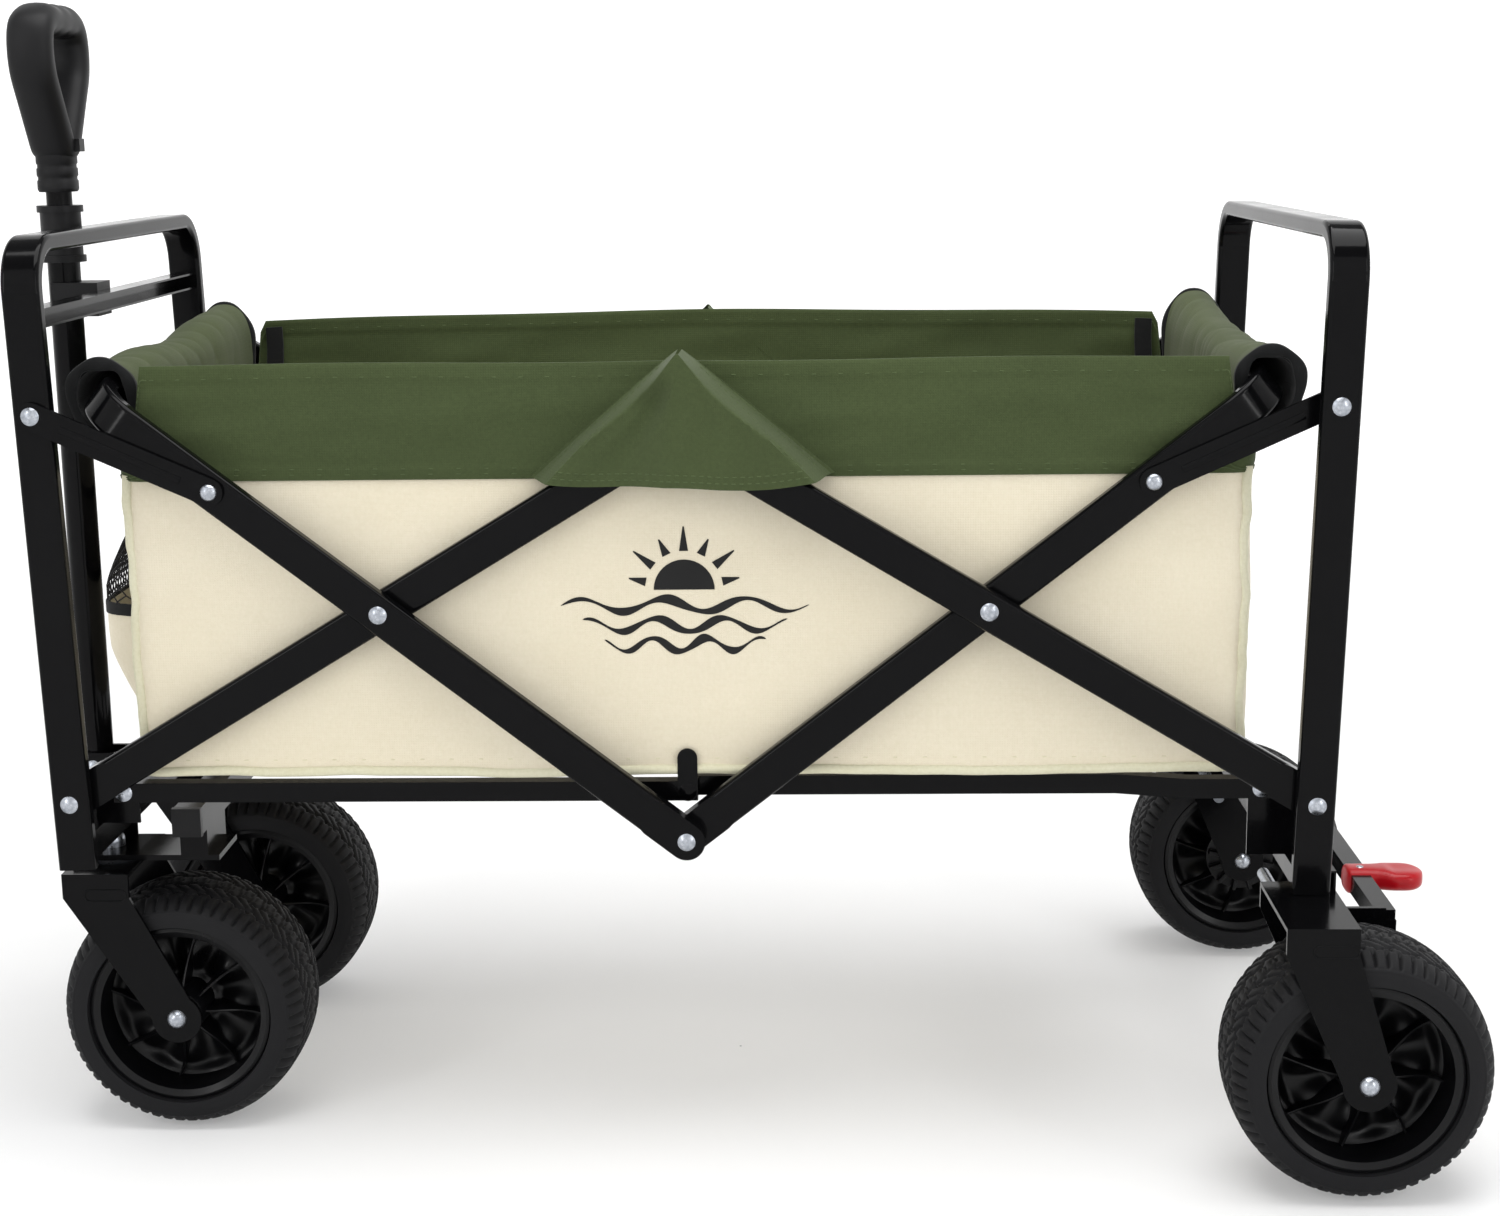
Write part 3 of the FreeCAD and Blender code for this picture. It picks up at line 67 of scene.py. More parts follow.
# ---- surfaces ---------------------------------------------------------------------------------


def grid(rows, cols):
    """Two arrays of shape rows x cols that run from 0 to 1 down the rows and along the columns."""
    return np.meshgrid(np.linspace(0, 1, rows), np.linspace(0, 1, cols), indexing="ij")


def smooth(t):
    """3t^2 - 2t^3 on 0..1, flat outside: an S-shaped step."""
    t = np.clip(t, 0, 1)
    return t * t * (3 - 2 * t)


def bump(t, width):
    """A bell exp(-(t/width)^2)."""
    return np.exp(-((t / width) ** 2))


def stack(*axes):
    """x, y and z arrays, or single numbers, as one array of points."""
    return np.stack(np.broadcast_arrays(*axes), -1).astype(float)


def unit(v):
    """Vectors scaled to length one along their last axis."""
    return v / np.maximum(np.linalg.norm(v, axis=-1, keepdims=True), 1e-12)


def run_length(points):
    """Length along a row of points, starting at zero."""
    steps = np.linalg.norm(np.diff(points, axis=0), axis=-1)
    return np.concatenate([[0], np.cumsum(steps)])


def resample(points, count):
    """The same polyline with count points at even spacing."""
    along = run_length(points)
    wanted = np.linspace(0, along[-1], count)
    return np.stack([np.interp(wanted, along, points[:, k]) for k in range(points.shape[1])], -1)


def round_path(corners, radii, count):
    """Corners joined by straight runs and quarter-like Bezier turns: at each corner the path leaves
    the run 'radius' before it and joins the next 'radius' after it."""
    corners = np.array(corners, float)
    points = [corners[0]]
    for k in range(1, len(corners) - 1):
        before = corners[k] + unit(corners[k - 1] - corners[k]) * radii[k - 1]
        after = corners[k] + unit(corners[k + 1] - corners[k]) * radii[k - 1]
        t = np.linspace(0, 1, TURN_STEPS)[:, None]
        points.extend((1 - t) ** 2 * before + 2 * t * (1 - t) * corners[k] + t * t * after)
    points.append(corners[-1])
    return resample(np.array(points), count)


def ring_profile(width, height, count=16, power=2.0):
    """A closed superellipse |x/w|^p + |y/h|^p = 1, first point repeated at the end."""
    a = np.linspace(0, TAU, count + 1)
    c, s = np.cos(a), np.sin(a)
    x = np.sign(c) * np.abs(c) ** (2 / power) * width / 2
    y = np.sign(s) * np.abs(s) ** (2 / power) * height / 2
    return np.stack([x, y], -1)


def carry(profile, path, up=(0, 0, 1), closed=False, scale=None, ends=True):
    """A profile carried along a path: point = path + x * side + y * lift, where side is square to the
    tangent and 'up', and lift to both. scale gives a size factor per point. Ends close to a pole."""
    path = np.asarray(path, float)
    if closed:
        around = np.vstack([path[-2], path, path[1]])
        tangent = unit(around[2:] - around[:-2])
    else:
        tangent = unit(np.gradient(path, axis=0))
    side = unit(np.cross(tangent, np.broadcast_to(np.asarray(up, float), tangent.shape)))
    lift = np.cross(side, tangent)
    size = np.ones(len(path)) if scale is None else np.asarray(scale, float)
    wide = profile[None, :, 0, None] * side[:, None] * size[:, None, None]
    tall = profile[None, :, 1, None] * lift[:, None] * size[:, None, None]
    points = path[:, None] + wide + tall
    flat = np.stack(np.broadcast_arrays(run_length(path)[:, None], run_length(profile)[None]), -1)
    if ends and not closed:
        points, flat = pole(points, flat, path[0], path[-1])
    return points, flat


def pole(points, flat, first, last):
    """A grid with a first and a last row that are single points, which closes its two ends."""
    cols = points.shape[1]
    top, tail = np.tile(first, (1, cols, 1)), np.tile(last, (1, cols, 1))
    return np.concatenate([top, points, tail]), np.concatenate([flat[:1], flat, flat[-1:]])


def no_map(points):
    """A map of zeros, for a piece whose finish follows no map."""
    return np.zeros(points.shape[:2] + (2,))


def lathe(profile, turns):
    """A profile of (radius, height along Y) turned about the Y axis; the last column repeats the first."""
    a = np.linspace(0, TAU, turns + 1)
    points = stack(profile[:, None, 0] * np.cos(a), profile[:, None, 1] + 0 * a,
                   profile[:, None, 0] * np.sin(a))
    flat = np.stack(np.broadcast_arrays(a * 0.08, run_length(profile)[:, None]), -1)
    return points, flat


def shape(name, surfaces, material, body, stands_for=(), crease=40, weld=2e-6):
    """One piece from a list of (points, map) grids. Doubles are merged and the faces turned outwards."""
    verts, faces, maps, start = [], [], [], 0
    for points, flat in surfaces:
        rows, cols = points.shape[:2]
        i, j = np.meshgrid(np.arange(rows - 1), np.arange(cols - 1), indexing="ij")
        corner = start + i * cols + j
        quads = np.stack([corner, corner + cols, corner + cols + 1, corner + 1], -1).reshape(-1, 4)
        verts.append(points.reshape(-1, 3))
        maps.append(np.broadcast_to(flat, points.shape[:2] + (2,)).reshape(-1, 2))
        faces.append(quads)
        start += rows * cols
    verts, faces, maps = np.concatenate(verts), np.concatenate(faces), np.concatenate(maps)
    mesh = bpy.data.meshes.new(name)
    mesh.from_pydata(verts.tolist(), [], faces.tolist())
    layer = mesh.uv_layers.new(name="cloth_map")
    layer.data.foreach_set("uv", maps[faces.ravel()].astype(np.float32).ravel())
    work = bmesh.new()
    work.from_mesh(mesh)
    bmesh.ops.remove_doubles(work, verts=work.verts, dist=weld)
    bmesh.ops.recalc_face_normals(work, faces=work.faces)
    work.to_mesh(mesh)
    work.free()
    mesh.shade_smooth()
    mesh.set_sharp_from_angle(angle=math.radians(crease))
    mesh.materials.append(material)
    piece = bpy.data.objects.new(name, mesh)
    bpy.context.scene.collection.objects.link(piece)
    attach(piece, body)
    if stands_for:
        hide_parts(*stands_for)
    return piece


# ---- materials --------------------------------------------------------------------------------


def linear(code):
    """An sRGB hex colour as linear red, green, blue and alpha."""
    parts = [int(code[k : k + 2], 16) / 255 for k in (1, 3, 5)]
    return [p / 12.92 if p <= 0.04045 else ((p + 0.055) / 1.055) ** 2.4 for p in parts] + [1.0]


def add(tree, kind, sockets=None, **settings):
    """Adds a node. settings are its own properties; sockets are its inputs, each a value or an output."""
    made = tree.nodes.new("ShaderNode" + kind)
    for key, value in settings.items():
        setattr(made, key, value)
    for key, value in (sockets or {}).items():
        if isinstance(value, bpy.types.NodeSocket):
            tree.links.new(value, made.inputs[key])
        else:
            made.inputs[key].default_value = value
    return made


def finish_of(name, **sockets):
    """A new material with a Principled shader whose steady values are set on its own sockets."""
    made = bpy.data.materials.new(name)
    made.use_nodes = True
    tree = made.node_tree
    shader = tree.nodes["Principled BSDF"]
    for key, value in sockets.items():
        shader.inputs[key.replace("_", " ")].default_value = value
    return made, tree, shader


def connect(tree, shader, colour, relief=None, rough=None):
    """Links a colour mix, a relief and a spread of roughness to a shader."""
    tree.links.new(colour.outputs[2], shader.inputs["Base Color"])
    if relief:
        tree.links.new(relief.outputs["Normal"], shader.inputs["Normal"])
    if rough:
        tree.links.new(rough.outputs["Result"], shader.inputs["Roughness"])


WAVES_PER_SCALE = 3.2  # a wave texture of scale 1 has 3.2 bands in a metre
SLUB = 1 / 420  # metres between the thick and thin places of the yarn
THREAD_DEPTH = 0.22 * MM


def cloth(name, light, dark, fuzz, thread=1.7, seed=0.0):
    """Plain-woven 600-denier polyester. Threads of 0.5 mm are drawn 1.7 mm wide so that they show.
    The two colours mix in slow clouds and a thread-fine mottle, as dyed yarn does."""
    made, tree, shader = finish_of(name, Roughness=0.86, Specular_IOR_Level=0.25, Sheen_Weight=fuzz,
                                   Sheen_Roughness=0.5)
    bands = 1 / (thread * MM * WAVES_PER_SCALE)
    flat = add(tree, "UVMap", uv_map="cloth_map")
    solid = add(tree, "TexCoord")
    uneven = {"Vector": flat.outputs["UV"], "Scale": bands, "Distortion": 0.6, "Detail": 1.0,
              "Detail Scale": 0.6}
    warp = add(tree, "TexWave", uneven | {"Phase Offset": seed}, bands_direction="X")
    weft = add(tree, "TexWave", uneven, bands_direction="Y")
    weave = add(tree, "Math", {0: warp.outputs["Fac"], 1: weft.outputs["Fac"]}, operation="MULTIPLY")
    cloud = add(tree, "TexNoise", {"Vector": solid.outputs["Object"], "Scale": 9.0, "Detail": 4.0,
                                   "Roughness": 0.55})
    slub = add(tree, "TexNoise", {"Vector": solid.outputs["Object"], "Scale": 1 / SLUB, "Detail": 2.0})
    clouded = add(tree, "Math", {0: cloud.outputs["Fac"], 1: 0.55, 2: 0.0}, operation="MULTIPLY_ADD")
    mottled = add(tree, "Math", {0: slub.outputs["Fac"], 1: 0.45, 2: clouded.outputs[0]},
                  operation="MULTIPLY_ADD")
    mix = add(tree, "MapRange", {"Value": mottled.outputs[0], "From Min": 0.3, "From Max": 0.7})
    colour = add(tree, "Mix", {"Factor": mix.outputs["Result"], 6: linear(dark), 7: linear(light)},
                 data_type="RGBA")
    relief = add(tree, "Bump", {"Height": weave.outputs[0], "Strength": 0.45, "Distance": THREAD_DEPTH})
    crease = add(tree, "TexNoise", {"Vector": solid.outputs["Object"], "Scale": 22.0, "Detail": 3.0,
                                    "Distortion": 0.4})
    soft = add(tree, "Bump", {"Height": crease.outputs["Fac"], "Strength": 0.18, "Distance": 4 * MM,
                              "Normal": relief.outputs["Normal"]})
    connect(tree, shader, colour, soft)
    return made


def moulded(name, light, dark, rough, grain, depth, gloss=0.5, spread=0.08):
    """Moulded polymer: an even colour that drifts a little, a fine spark-eroded grain in mm, and
    roughness that wanders by 'spread' where hands and dust have been."""
    made, tree, shader = finish_of(name, IOR=1.49, Specular_IOR_Level=gloss)
    solid = add(tree, "TexCoord")
    drift = add(tree, "TexNoise", {"Vector": solid.outputs["Object"], "Scale": 14.0, "Detail": 5.0})
    colour = add(tree, "Mix", {"Factor": drift.outputs["Fac"], 6: linear(dark), 7: linear(light)},
                 data_type="RGBA")
    wear = add(tree, "MapRange", {"Value": drift.outputs["Fac"], "From Min": 0.3, "From Max": 0.7,
                                  "To Min": rough - spread, "To Max": rough + spread})
    texture = add(tree, "TexNoise", {"Vector": solid.outputs["Object"], "Scale": 1 / (grain * MM),
                                     "Detail": 2.0})
    relief = add(tree, "Bump", {"Height": texture.outputs["Fac"], "Strength": 0.3,
                                "Distance": depth * MM})
    connect(tree, shader, colour, relief, wear)
    return made


def powder_coat():
    """Gloss black polyester powder coat on steel tube: near-mirror sheen over 3 mm orange peel, with a
    little haze from handling."""
    made, tree, shader = finish_of("gloss_black_powder_coat", IOR=1.5, Specular_IOR_Level=0.08,
                                   Coat_Weight=0.04, Coat_Roughness=0.06)
    solid = add(tree, "TexCoord")
    haze = add(tree, "TexNoise", {"Vector": solid.outputs["Object"], "Scale": 11.0, "Detail": 6.0})
    rough = add(tree, "MapRange", {"Value": haze.outputs["Fac"], "From Min": 0.3, "From Max": 0.7,
                                   "To Min": 0.1, "To Max": 0.2})
    colour = add(tree, "Mix", {"Factor": haze.outputs["Fac"], 6: linear("#040405"),
                               7: linear("#080809")}, data_type="RGBA")
    peel = add(tree, "TexNoise", {"Vector": solid.outputs["Object"], "Scale": 1 / (3 * MM),
                                  "Detail": 1.0})
    relief = add(tree, "Bump", {"Height": peel.outputs["Fac"], "Strength": 0.06,
                                "Distance": 0.3 * MM})
    connect(tree, shader, colour, relief, rough)
    return made


def zinc():
    """Bright zinc-plated steel: pale blue-grey metal with a soft spangle and rubbed spots."""
    made, tree, shader = finish_of("bright_zinc_plated_steel", Metallic=1.0)
    solid = add(tree, "TexCoord")
    spangle = add(tree, "TexVoronoi", {"Vector": solid.outputs["Object"], "Scale": 1 / (2.5 * MM)})
    colour = add(tree, "Mix", {"Factor": spangle.outputs["Distance"], 6: linear("#B9BDC4"),
                               7: linear("#8C9199")}, data_type="RGBA")
    rough = add(tree, "MapRange", {"Value": spangle.outputs["Distance"], "To Min": 0.22,
                                   "To Max": 0.4})
    connect(tree, shader, colour, rough=rough)
    return made


COAT = powder_coat()
ZINC = zinc()
# satin, faintly grained handle tubes, collar and clip
BLACK_NYLON = moulded("satin_black_nylon", "#0D0D0F", "#070708", 0.4, 0.9, 0.05, gloss=0.2)
# duller and softer than the nylon, so that highlights on the grip are broad
GRIP_TPE = moulded("soft_touch_grip_rubber", "#101012", "#09090A", 0.5, 1.1, 0.1, gloss=0.2)
# clear red with a moulded shine
RED_PP = moulded("moulded_red_polypropylene", "#AE0E1A", "#960812", 0.34, 1.4, 0.05, gloss=0.25)
# matt rubber, greyer where it is rubbed
TYRE_RUBBER = moulded("black_tread_rubber", "#131315", "#0B0B0D", 0.66, 1.2, 0.12, gloss=0.2,
                      spread=0.1)
# deep black, with a shine along the vanes' edges
RIM_PP = moulded("deep_black_wheel_polypropylene", "#09090B", "#040405", 0.34, 1.6, 0.06, gloss=0.2)
# flat dark green backing of the floor boards, with no shine
BOARD = moulded("dark_floor_board_cloth", "#262C1E", "#1C2116", 0.9, 1.5, 0.2, gloss=0.2)
# flat ink that hides the weave
PRINT_INK = moulded("black_screen_print", "#141414", "#0E0E0E", 0.7, 1.7, 0.1, gloss=0.3)
# matt cloth, with the cross hatch of its threads and a little fuzz at the edges
BEIGE = cloth("beige_oxford_polyester", "#D6CEBA", "#CEC5AE", 0.08)
PIPING = cloth("beige_piping_cloth", "#D0CDB6", "#C2BEA2", 0.12, thread=1.2)
GREEN = cloth("green_oxford_polyester", "#3E492A", "#343E22", 0.05, seed=1.3)
GREEN_DARK = cloth("green_padded_cloth", "#3F4729", "#333B20", 0.05, seed=2.1)
# finer threads: tape, net and sewing thread
BINDING = cloth("black_binding_tape", "#0E0F10", "#08090A", 0.08, thread=1.3)
NET = cloth("black_pocket_net", "#141416", "#0C0C0E", 0.1, thread=0.9)
THREAD = cloth("green_sewing_thread", "#4A5734", "#3D482A", 0.1, thread=0.8)
PALE_THREAD = cloth("beige_sewing_thread", "#CFC9AE", "#C0BA9C", 0.2, thread=0.8)

SLOT_FINISH = {"frame_steel": COAT, "zinc_steel": ZINC, "black_plastic": BLACK_NYLON,
               "grip_rubber": GRIP_TPE, "brake_red": RED_PP, "beige_cloth": BEIGE,
               "green_cloth": GREEN, "floor_panel": BOARD, "tyre_rubber": TYRE_RUBBER,
               "rim_plastic": RIM_PP}
for part in frame["record"]["subparts"]:
    coated = frame["nodes"][part["node"]]
    coated.data.materials.clear()
    coated.data.materials.append(SLOT_FINISH[part["material_slot"]])


def span(node):
    """A CAD node's lowest and highest corner as arrays."""
    low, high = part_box(node)
    return np.array(low), np.array(high)


# ---- wheels -----------------------------------------------------------------------------------


def groove(distance, width):
    """1 on a groove's centre line, falling smoothly to 0 at half its width."""
    return 1 - smooth(np.abs(distance) / (width / 2))


TREAD_BLOCKS = 30  # blocks round each tyre
INNER_GROOVE, OUTER_GROOVE = 9 * MM, 23 * MM  # how far the zigzag grooves lie from the middle
TREAD_EDGE, SHOULDER = 27 * MM, 26 * MM
TREAD_CUT = 2.8 * MM


def zigzag(blocks):
    """A triangle wave from -1 to 1 that repeats once per block."""
    return 4 * np.abs(blocks % 1 - 0.5) - 1


def tread_depth(a, y, radius):
    """How deep the tread is cut, 0 to 1, at angle a and across-position y: four zigzag grooves round
    the tyre, S-shaped cuts across between them, and square-ended notches on the shoulders."""
    block = TAU / TREAD_BLOCKS
    zig, zag = zigzag(a / block), zigzag(a / block + 0.5)
    cut = np.maximum(groove(y - INNER_GROOVE - 2.6 * MM * zig, 3.6 * MM),
                     groove(y + INNER_GROOVE + 2.6 * MM * zag, 3.6 * MM))
    cut = np.maximum(cut, groove(y - OUTER_GROOVE - 2.2 * MM * zag, 3.4 * MM))
    cut = np.maximum(cut, groove(y + OUTER_GROOVE + 2.2 * MM * zig, 3.4 * MM))
    sway = 0.35 * np.sin(1.6 * y / INNER_GROOVE)
    across = ((a / block + sway + 0.25) % 0.5 - 0.25) * block * radius
    cut = np.maximum(cut, 0.8 * groove(across, 3.2 * MM) * (np.abs(y) < TREAD_EDGE))
    notch = ((a / block * 2 + 0.2 * np.sign(y)) % 1 - 0.5) * block / 2 * radius
    shoulder = smooth((np.abs(y) - SHOULDER) / (4 * MM))
    return np.maximum(cut * (1 - shoulder * 0.5), groove(notch, 4.2 * MM) * shoulder)


def tyre(name, node, body):
    """A tyre: section y = w sin(turn)^p, r = bead + h cos(turn)^q from bead to bead, cut by the tread
    where it is near the crown, with two fine raised lines on each side wall, and closed inside."""
    low, high = span(node)
    middle, half, radius = (low + high) / 2, (high[1] - low[1]) / 2, (high[2] - low[2]) / 2
    bead = radius * 0.75
    t, a = grid(88, 480)
    turn, angle = (0.5 - t) * math.pi, a * TAU
    wide = half * np.sign(turn) * np.abs(np.sin(turn)) ** 0.72
    tall = (radius - bead) * np.abs(np.cos(turn)) ** 0.62
    crown = smooth((tall / (radius - bead) - 0.52) / 0.16)
    reach = bead + tall - TREAD_CUT * crown * tread_depth(angle, wide, radius)
    line = bump(np.abs(turn) - 1.24, 0.035) + bump(np.abs(turn) - 1.12, 0.02) * 0.7
    wide = wide + np.sign(turn) * line * 0.5 * MM
    wide = np.clip(wide, -half, half)
    outer = stack(reach * np.cos(angle), wide, reach * np.sin(angle))
    t, a = grid(7, 480)
    lap = (t - 0.5) * 2
    seat = bead - 0.2 * MM - 3.6 * MM * np.sqrt(np.clip(1 - lap ** 2, 0, 1))
    bead_y = outer[-1, 0, 1]
    inner = stack(seat * np.cos(a * TAU), bead_y * lap, seat * np.sin(a * TAU))
    points = np.concatenate([outer, inner[::-1], outer[:1]]) + middle
    flat = np.stack(np.broadcast_arrays(np.linspace(0, 0.56, 480)[None],
                                        np.linspace(0, 0.2, len(points))[:, None]), -1)
    return shape(name, [(points, flat)], TYRE_RUBBER, body, (node,), crease=60)


def box_bar(path, width, height, lift):
    """A thin rib: a rounded rectangle carried along a path, with its height axis along 'lift'."""
    return carry(ring_profile(width, height, 12, 8), path, lift)


HUB, HUB_BORE, WEB = 15 * MM, 13.2 * MM, 4.5 * MM
VANES, VANE_THICK, PETAL_SWELL = 8, 1.9 * MM, 9 * MM
LUGS, LUG_PHASE = 12, math.radians(18)


def barrel(lip, deep, edge):
    """The wheel centre's outer wall, lathed: its section rises from the dish to a rounded lip."""
    section = [(deep, -edge + 6 * MM), (deep + 1 * MM, -edge + 1.6 * MM),
               (lip - 3.6 * MM, -edge - 0.6 * MM), (lip - 1.2 * MM, -edge + 0.2 * MM),
               (lip - 0.2 * MM, -edge + 2 * MM), (lip - 4.8 * MM, -edge + 5 * MM)]
    mirrored = [(r, -y) for r, y in reversed(section)]
    return lathe(np.array(section + mirrored + section[:1]), 96)


def web(side, deep):
    """One face of the web: height = web + swell * cos^2(4 angle) * bell(r), raised at hub and wall."""
    t, a = grid(26, 192)
    angle = a * TAU
    r = HUB - 1 * MM + (deep + 1.5 * MM - HUB) * t
    petal = np.cos(4 * angle + 0.6 * t) ** 2
    swell = bump(t - 0.55, 0.33) * petal * PETAL_SWELL
    level = side * (WEB + swell + 7 * MM * smooth((t - 0.8) / 0.2) + 5 * MM * smooth((0.22 - t) / 0.2))
    face = stack(r * np.cos(angle), level, r * np.sin(angle))
    back = stack(r * np.cos(angle), side * 1.0 * MM + 0 * level, r * np.sin(angle))
    sheet = np.concatenate([face, back[::-1], face[:1]])
    return sheet, np.broadcast_to(np.stack([angle[:1] * 0.05, angle[:1] * 0], -1),
                                  sheet.shape[:2] + (2,))


def vane(k, side, half, deep):
    """A vane on the web: a thin rounded slab from hub to wall, whose angle grows as s^1.6 and whose
    height falls along it."""
    s = np.linspace(0, 1, 18)
    bend = k * TAU / VANES + 0.12 * s ** 1.6 * side + (0.11 if side > 0 else -0.05)
    r = HUB - 1 * MM + (deep + 0.8 * MM - HUB) * s
    top = (half - 9 * MM) - 15 * MM * smooth(s * 1.1) - 2 * MM
    foot = 2 * MM
    path = stack(r * np.cos(bend), side * (top + foot) / 2, r * np.sin(bend))
    across = unit(stack(-np.sin(bend), 0 * bend, np.cos(bend)))
    rise = (top - foot) / 2
    loop = ring_profile(1, 1, 12, 8)
    points = (path[:, None] + loop[None, :, 0, None] * across[:, None] * VANE_THICK
              + loop[None, :, 1, None] * np.array([0, 1, 0.0]) * 2 * rise[:, None, None])
    return pole(points, no_map(points), path[0], path[-1])


def brake_ring(side, half):
    """The ring on a rear wheel's inner face: a lathed disc with twelve lugs set round it."""
    start, tip = half - 20 * MM, half - 0.6 * MM
    inner, outer = 20 * MM, 29 * MM
    disc = np.array([(HUB, start), (outer, start), (outer, start + 9.5 * MM), (inner, tip - 7 * MM),
                     (HUB, tip - 7 * MM), (HUB, start)]) * [1, side]
    surfaces = [lathe(disc, 72)]
    for k in range(LUGS):
        turn = k * TAU / LUGS + LUG_PHASE
        r = 18.5 * MM + 10 * MM * np.linspace(0, 1, 6)
        path = stack(r * math.cos(turn), side * (tip - 4 * MM), r * math.sin(turn))
        surfaces.append(box_bar(path, 7.6 * MM, 3.4 * MM, (-math.sin(turn), 0, math.cos(turn))))
    return surfaces


def rim(name, node, body, lug_side):
    """A moulded wheel centre: barrel, web, vanes and a stepped hub, with a brake ring on the side
    that lug_side gives, or none where it is 0."""
    low, high = span(node)
    middle, half = (low + high) / 2, (high[1] - low[1]) / 2
    lip = (high[2] - low[2]) / 2
    deep = lip * 0.866
    surfaces = [barrel(lip, deep, half - 3.2 * MM)]
    for side in (-1, 1):
        surfaces.append(web(side, deep))
        surfaces += [vane(k, side, half, deep) for k in range(VANES)]
    cap = half - 4 * MM
    stepped = [(HUB, -cap), (HUB + 1.5 * MM, -cap + 2 * MM), (HUB + 3 * MM, -WEB), (HUB + 3 * MM, WEB),
               (HUB + 1.5 * MM, cap - 2 * MM), (HUB, cap)]
    surfaces.append(lathe(np.array([(HUB_BORE, -cap)] + stepped + [(HUB_BORE, cap), (HUB_BORE, -cap)]), 48))
    if lug_side:
        surfaces += brake_ring(lug_side, half)
    surfaces = [(points + middle, flat) for points, flat in surfaces]
    return shape(name, surfaces, RIM_PP, body, (node,), crease=35)


for side in ("near", "far"):
    inward = 1 if side == "near" else -1
    tyre("front_tread_" + side, "front_tyre_" + side, "front_wheel_" + side)
    tyre("rear_tread_" + side, "rear_tyre_" + side, "rear_wheel_" + side)
    rim("front_wheel_centre_" + side, "front_rim_" + side, "front_wheel_" + side, 0)
    rim("rear_wheel_centre_" + side, "rear_rim_" + side, "rear_wheel_" + side, inward)


# ---- basket cloth -----------------------------------------------------------------------------

shell_low, shell_high = span("basket_shell")
X0, X1 = shell_low[0], shell_high[0]
HALF_Y = shell_high[1]
FLOOR_Z, SEAM_Z = shell_low[2], shell_high[2]  # SEAM_Z: where the beige walls meet the green band
TOP_Z = SEAM_Z + 78.5 * MM  # the band's top edge on the long sides
END_TOP_Z = SEAM_Z + 27.5 * MM  # and under the end rails
MID_X = (X0 + X1) / 2
PANEL_ROUND = 22 * MM
WALL = 1.6 * MM
BELLY = 1.8 * MM  # how far the walls bulge
PANEL_SEED = 3
PANEL_COLUMNS, BAND_COLUMNS = 420, 460  # grid columns round the basket
CORNERS = ((X0, -1, 1), (X1, -1, -1), (X0, 1, 1), (X1, 1, -1))  # x, side of the cart, way inwards


def loop_plan(count, inset=0.0):
    """The basket seen from above: a rectangle with round corners, anticlockwise from the middle of the
    near side, first point repeated. Returns points, outward directions and the length along it."""
    x0, x1, y0, y1 = X0 + inset, X1 - inset, -HALF_Y + inset, HALF_Y - inset
    corners = [(MID_X, y0), (x1, y0), (x1, y1), (x0, y1), (x0, y0), (MID_X, y0)]
    plan = round_path(corners, [PANEL_ROUND] * 4, count)
    ahead = unit(np.gradient(plan, axis=0))
    ahead[0] = ahead[-1] = (1, 0)
    return plan, np.stack([ahead[:, 1], -ahead[:, 0]], -1), run_length(plan)


def waves(u, v, seed, turns=(7, 13, 27), sizes=(1.0, 0.55, 0.3), whole=None):
    """Slow cloth ripples: sines with a whole number of turns along u, bent by v, with seeded phases."""
    whole = whole or np.max(u) - np.min(u)
    phase = np.random.default_rng(seed).uniform(0, TAU, (len(turns), 3))
    total = 0 * u
    for (p, q, w), turn, size in zip(phase, turns, sizes):
        bend = 1.7 * np.sin(v * 40 + q)
        total = total + size * np.sin(TAU * turn * u / whole + p + bend)
        total = total + size * 0.5 * np.sin(TAU * turn * u / whole * 2 + v * 55 + w)
    return total


def side_push(u, v, bulge, seed, whole):
    """How far a wall of cloth stands out: a belly sin(pi v), ripples that fade at the hems, and a soft
    limit so that it stays clear of the bars."""
    belly = np.sin(math.pi * np.clip(v, 0, 1)) ** 0.8
    return np.minimum(bulge * belly + 0.6 * MM * waves(u, v * 0.2, seed, whole=whole) * belly, 3.4 * MM)


def wall_points(u_count, v, low_z, high_z, bulge, seed, inset):
    """The outer face of a wall of cloth all round the basket, its map in metres, and its directions.
    low_z and high_z may change along the way."""
    plan, out, along = loop_plan(u_count, inset)
    z = low_z + (high_z - low_z) * v[:, None]
    push = side_push(along[None], v[:, None], bulge, seed, along[-1])
    face = plan[None] + out[None] * push[..., None]
    points = stack(face[..., 0], face[..., 1], z + 0 * push)
    flat = np.stack(np.broadcast_arrays(along[None], z), -1)
    return points, flat, np.concatenate([out, 0 * out[:, :1]], -1)


def double(points, flat, inwards):
    """A sheet given a back face: the grid, the same grid moved by 'inwards', and both hems closed."""
    back = points + inwards
    return (np.concatenate([points, back[::-1], points[:1]]),
            np.concatenate([flat, flat[::-1], flat[:1]]))


def closed_sheet(points, flat, inwards):
    """A sheet with a back face whose four edges are all closed, for a grid that doesn't wrap round."""
    points, flat = double(points, flat, inwards)
    left, right = points[:, :1].copy(), points[:, -1:].copy()
    for edge in (left, right):
        rows = (len(edge) - 1) // 2
        middle = (edge[:rows] + edge[rows : 2 * rows][::-1]) / 2
        edge[:rows], edge[rows : 2 * rows] = middle, middle[::-1]
        edge[-1] = edge[0]
    return (np.concatenate([left, points, right], 1),
            np.concatenate([flat[:, :1], flat, flat[:, -1:]], 1))


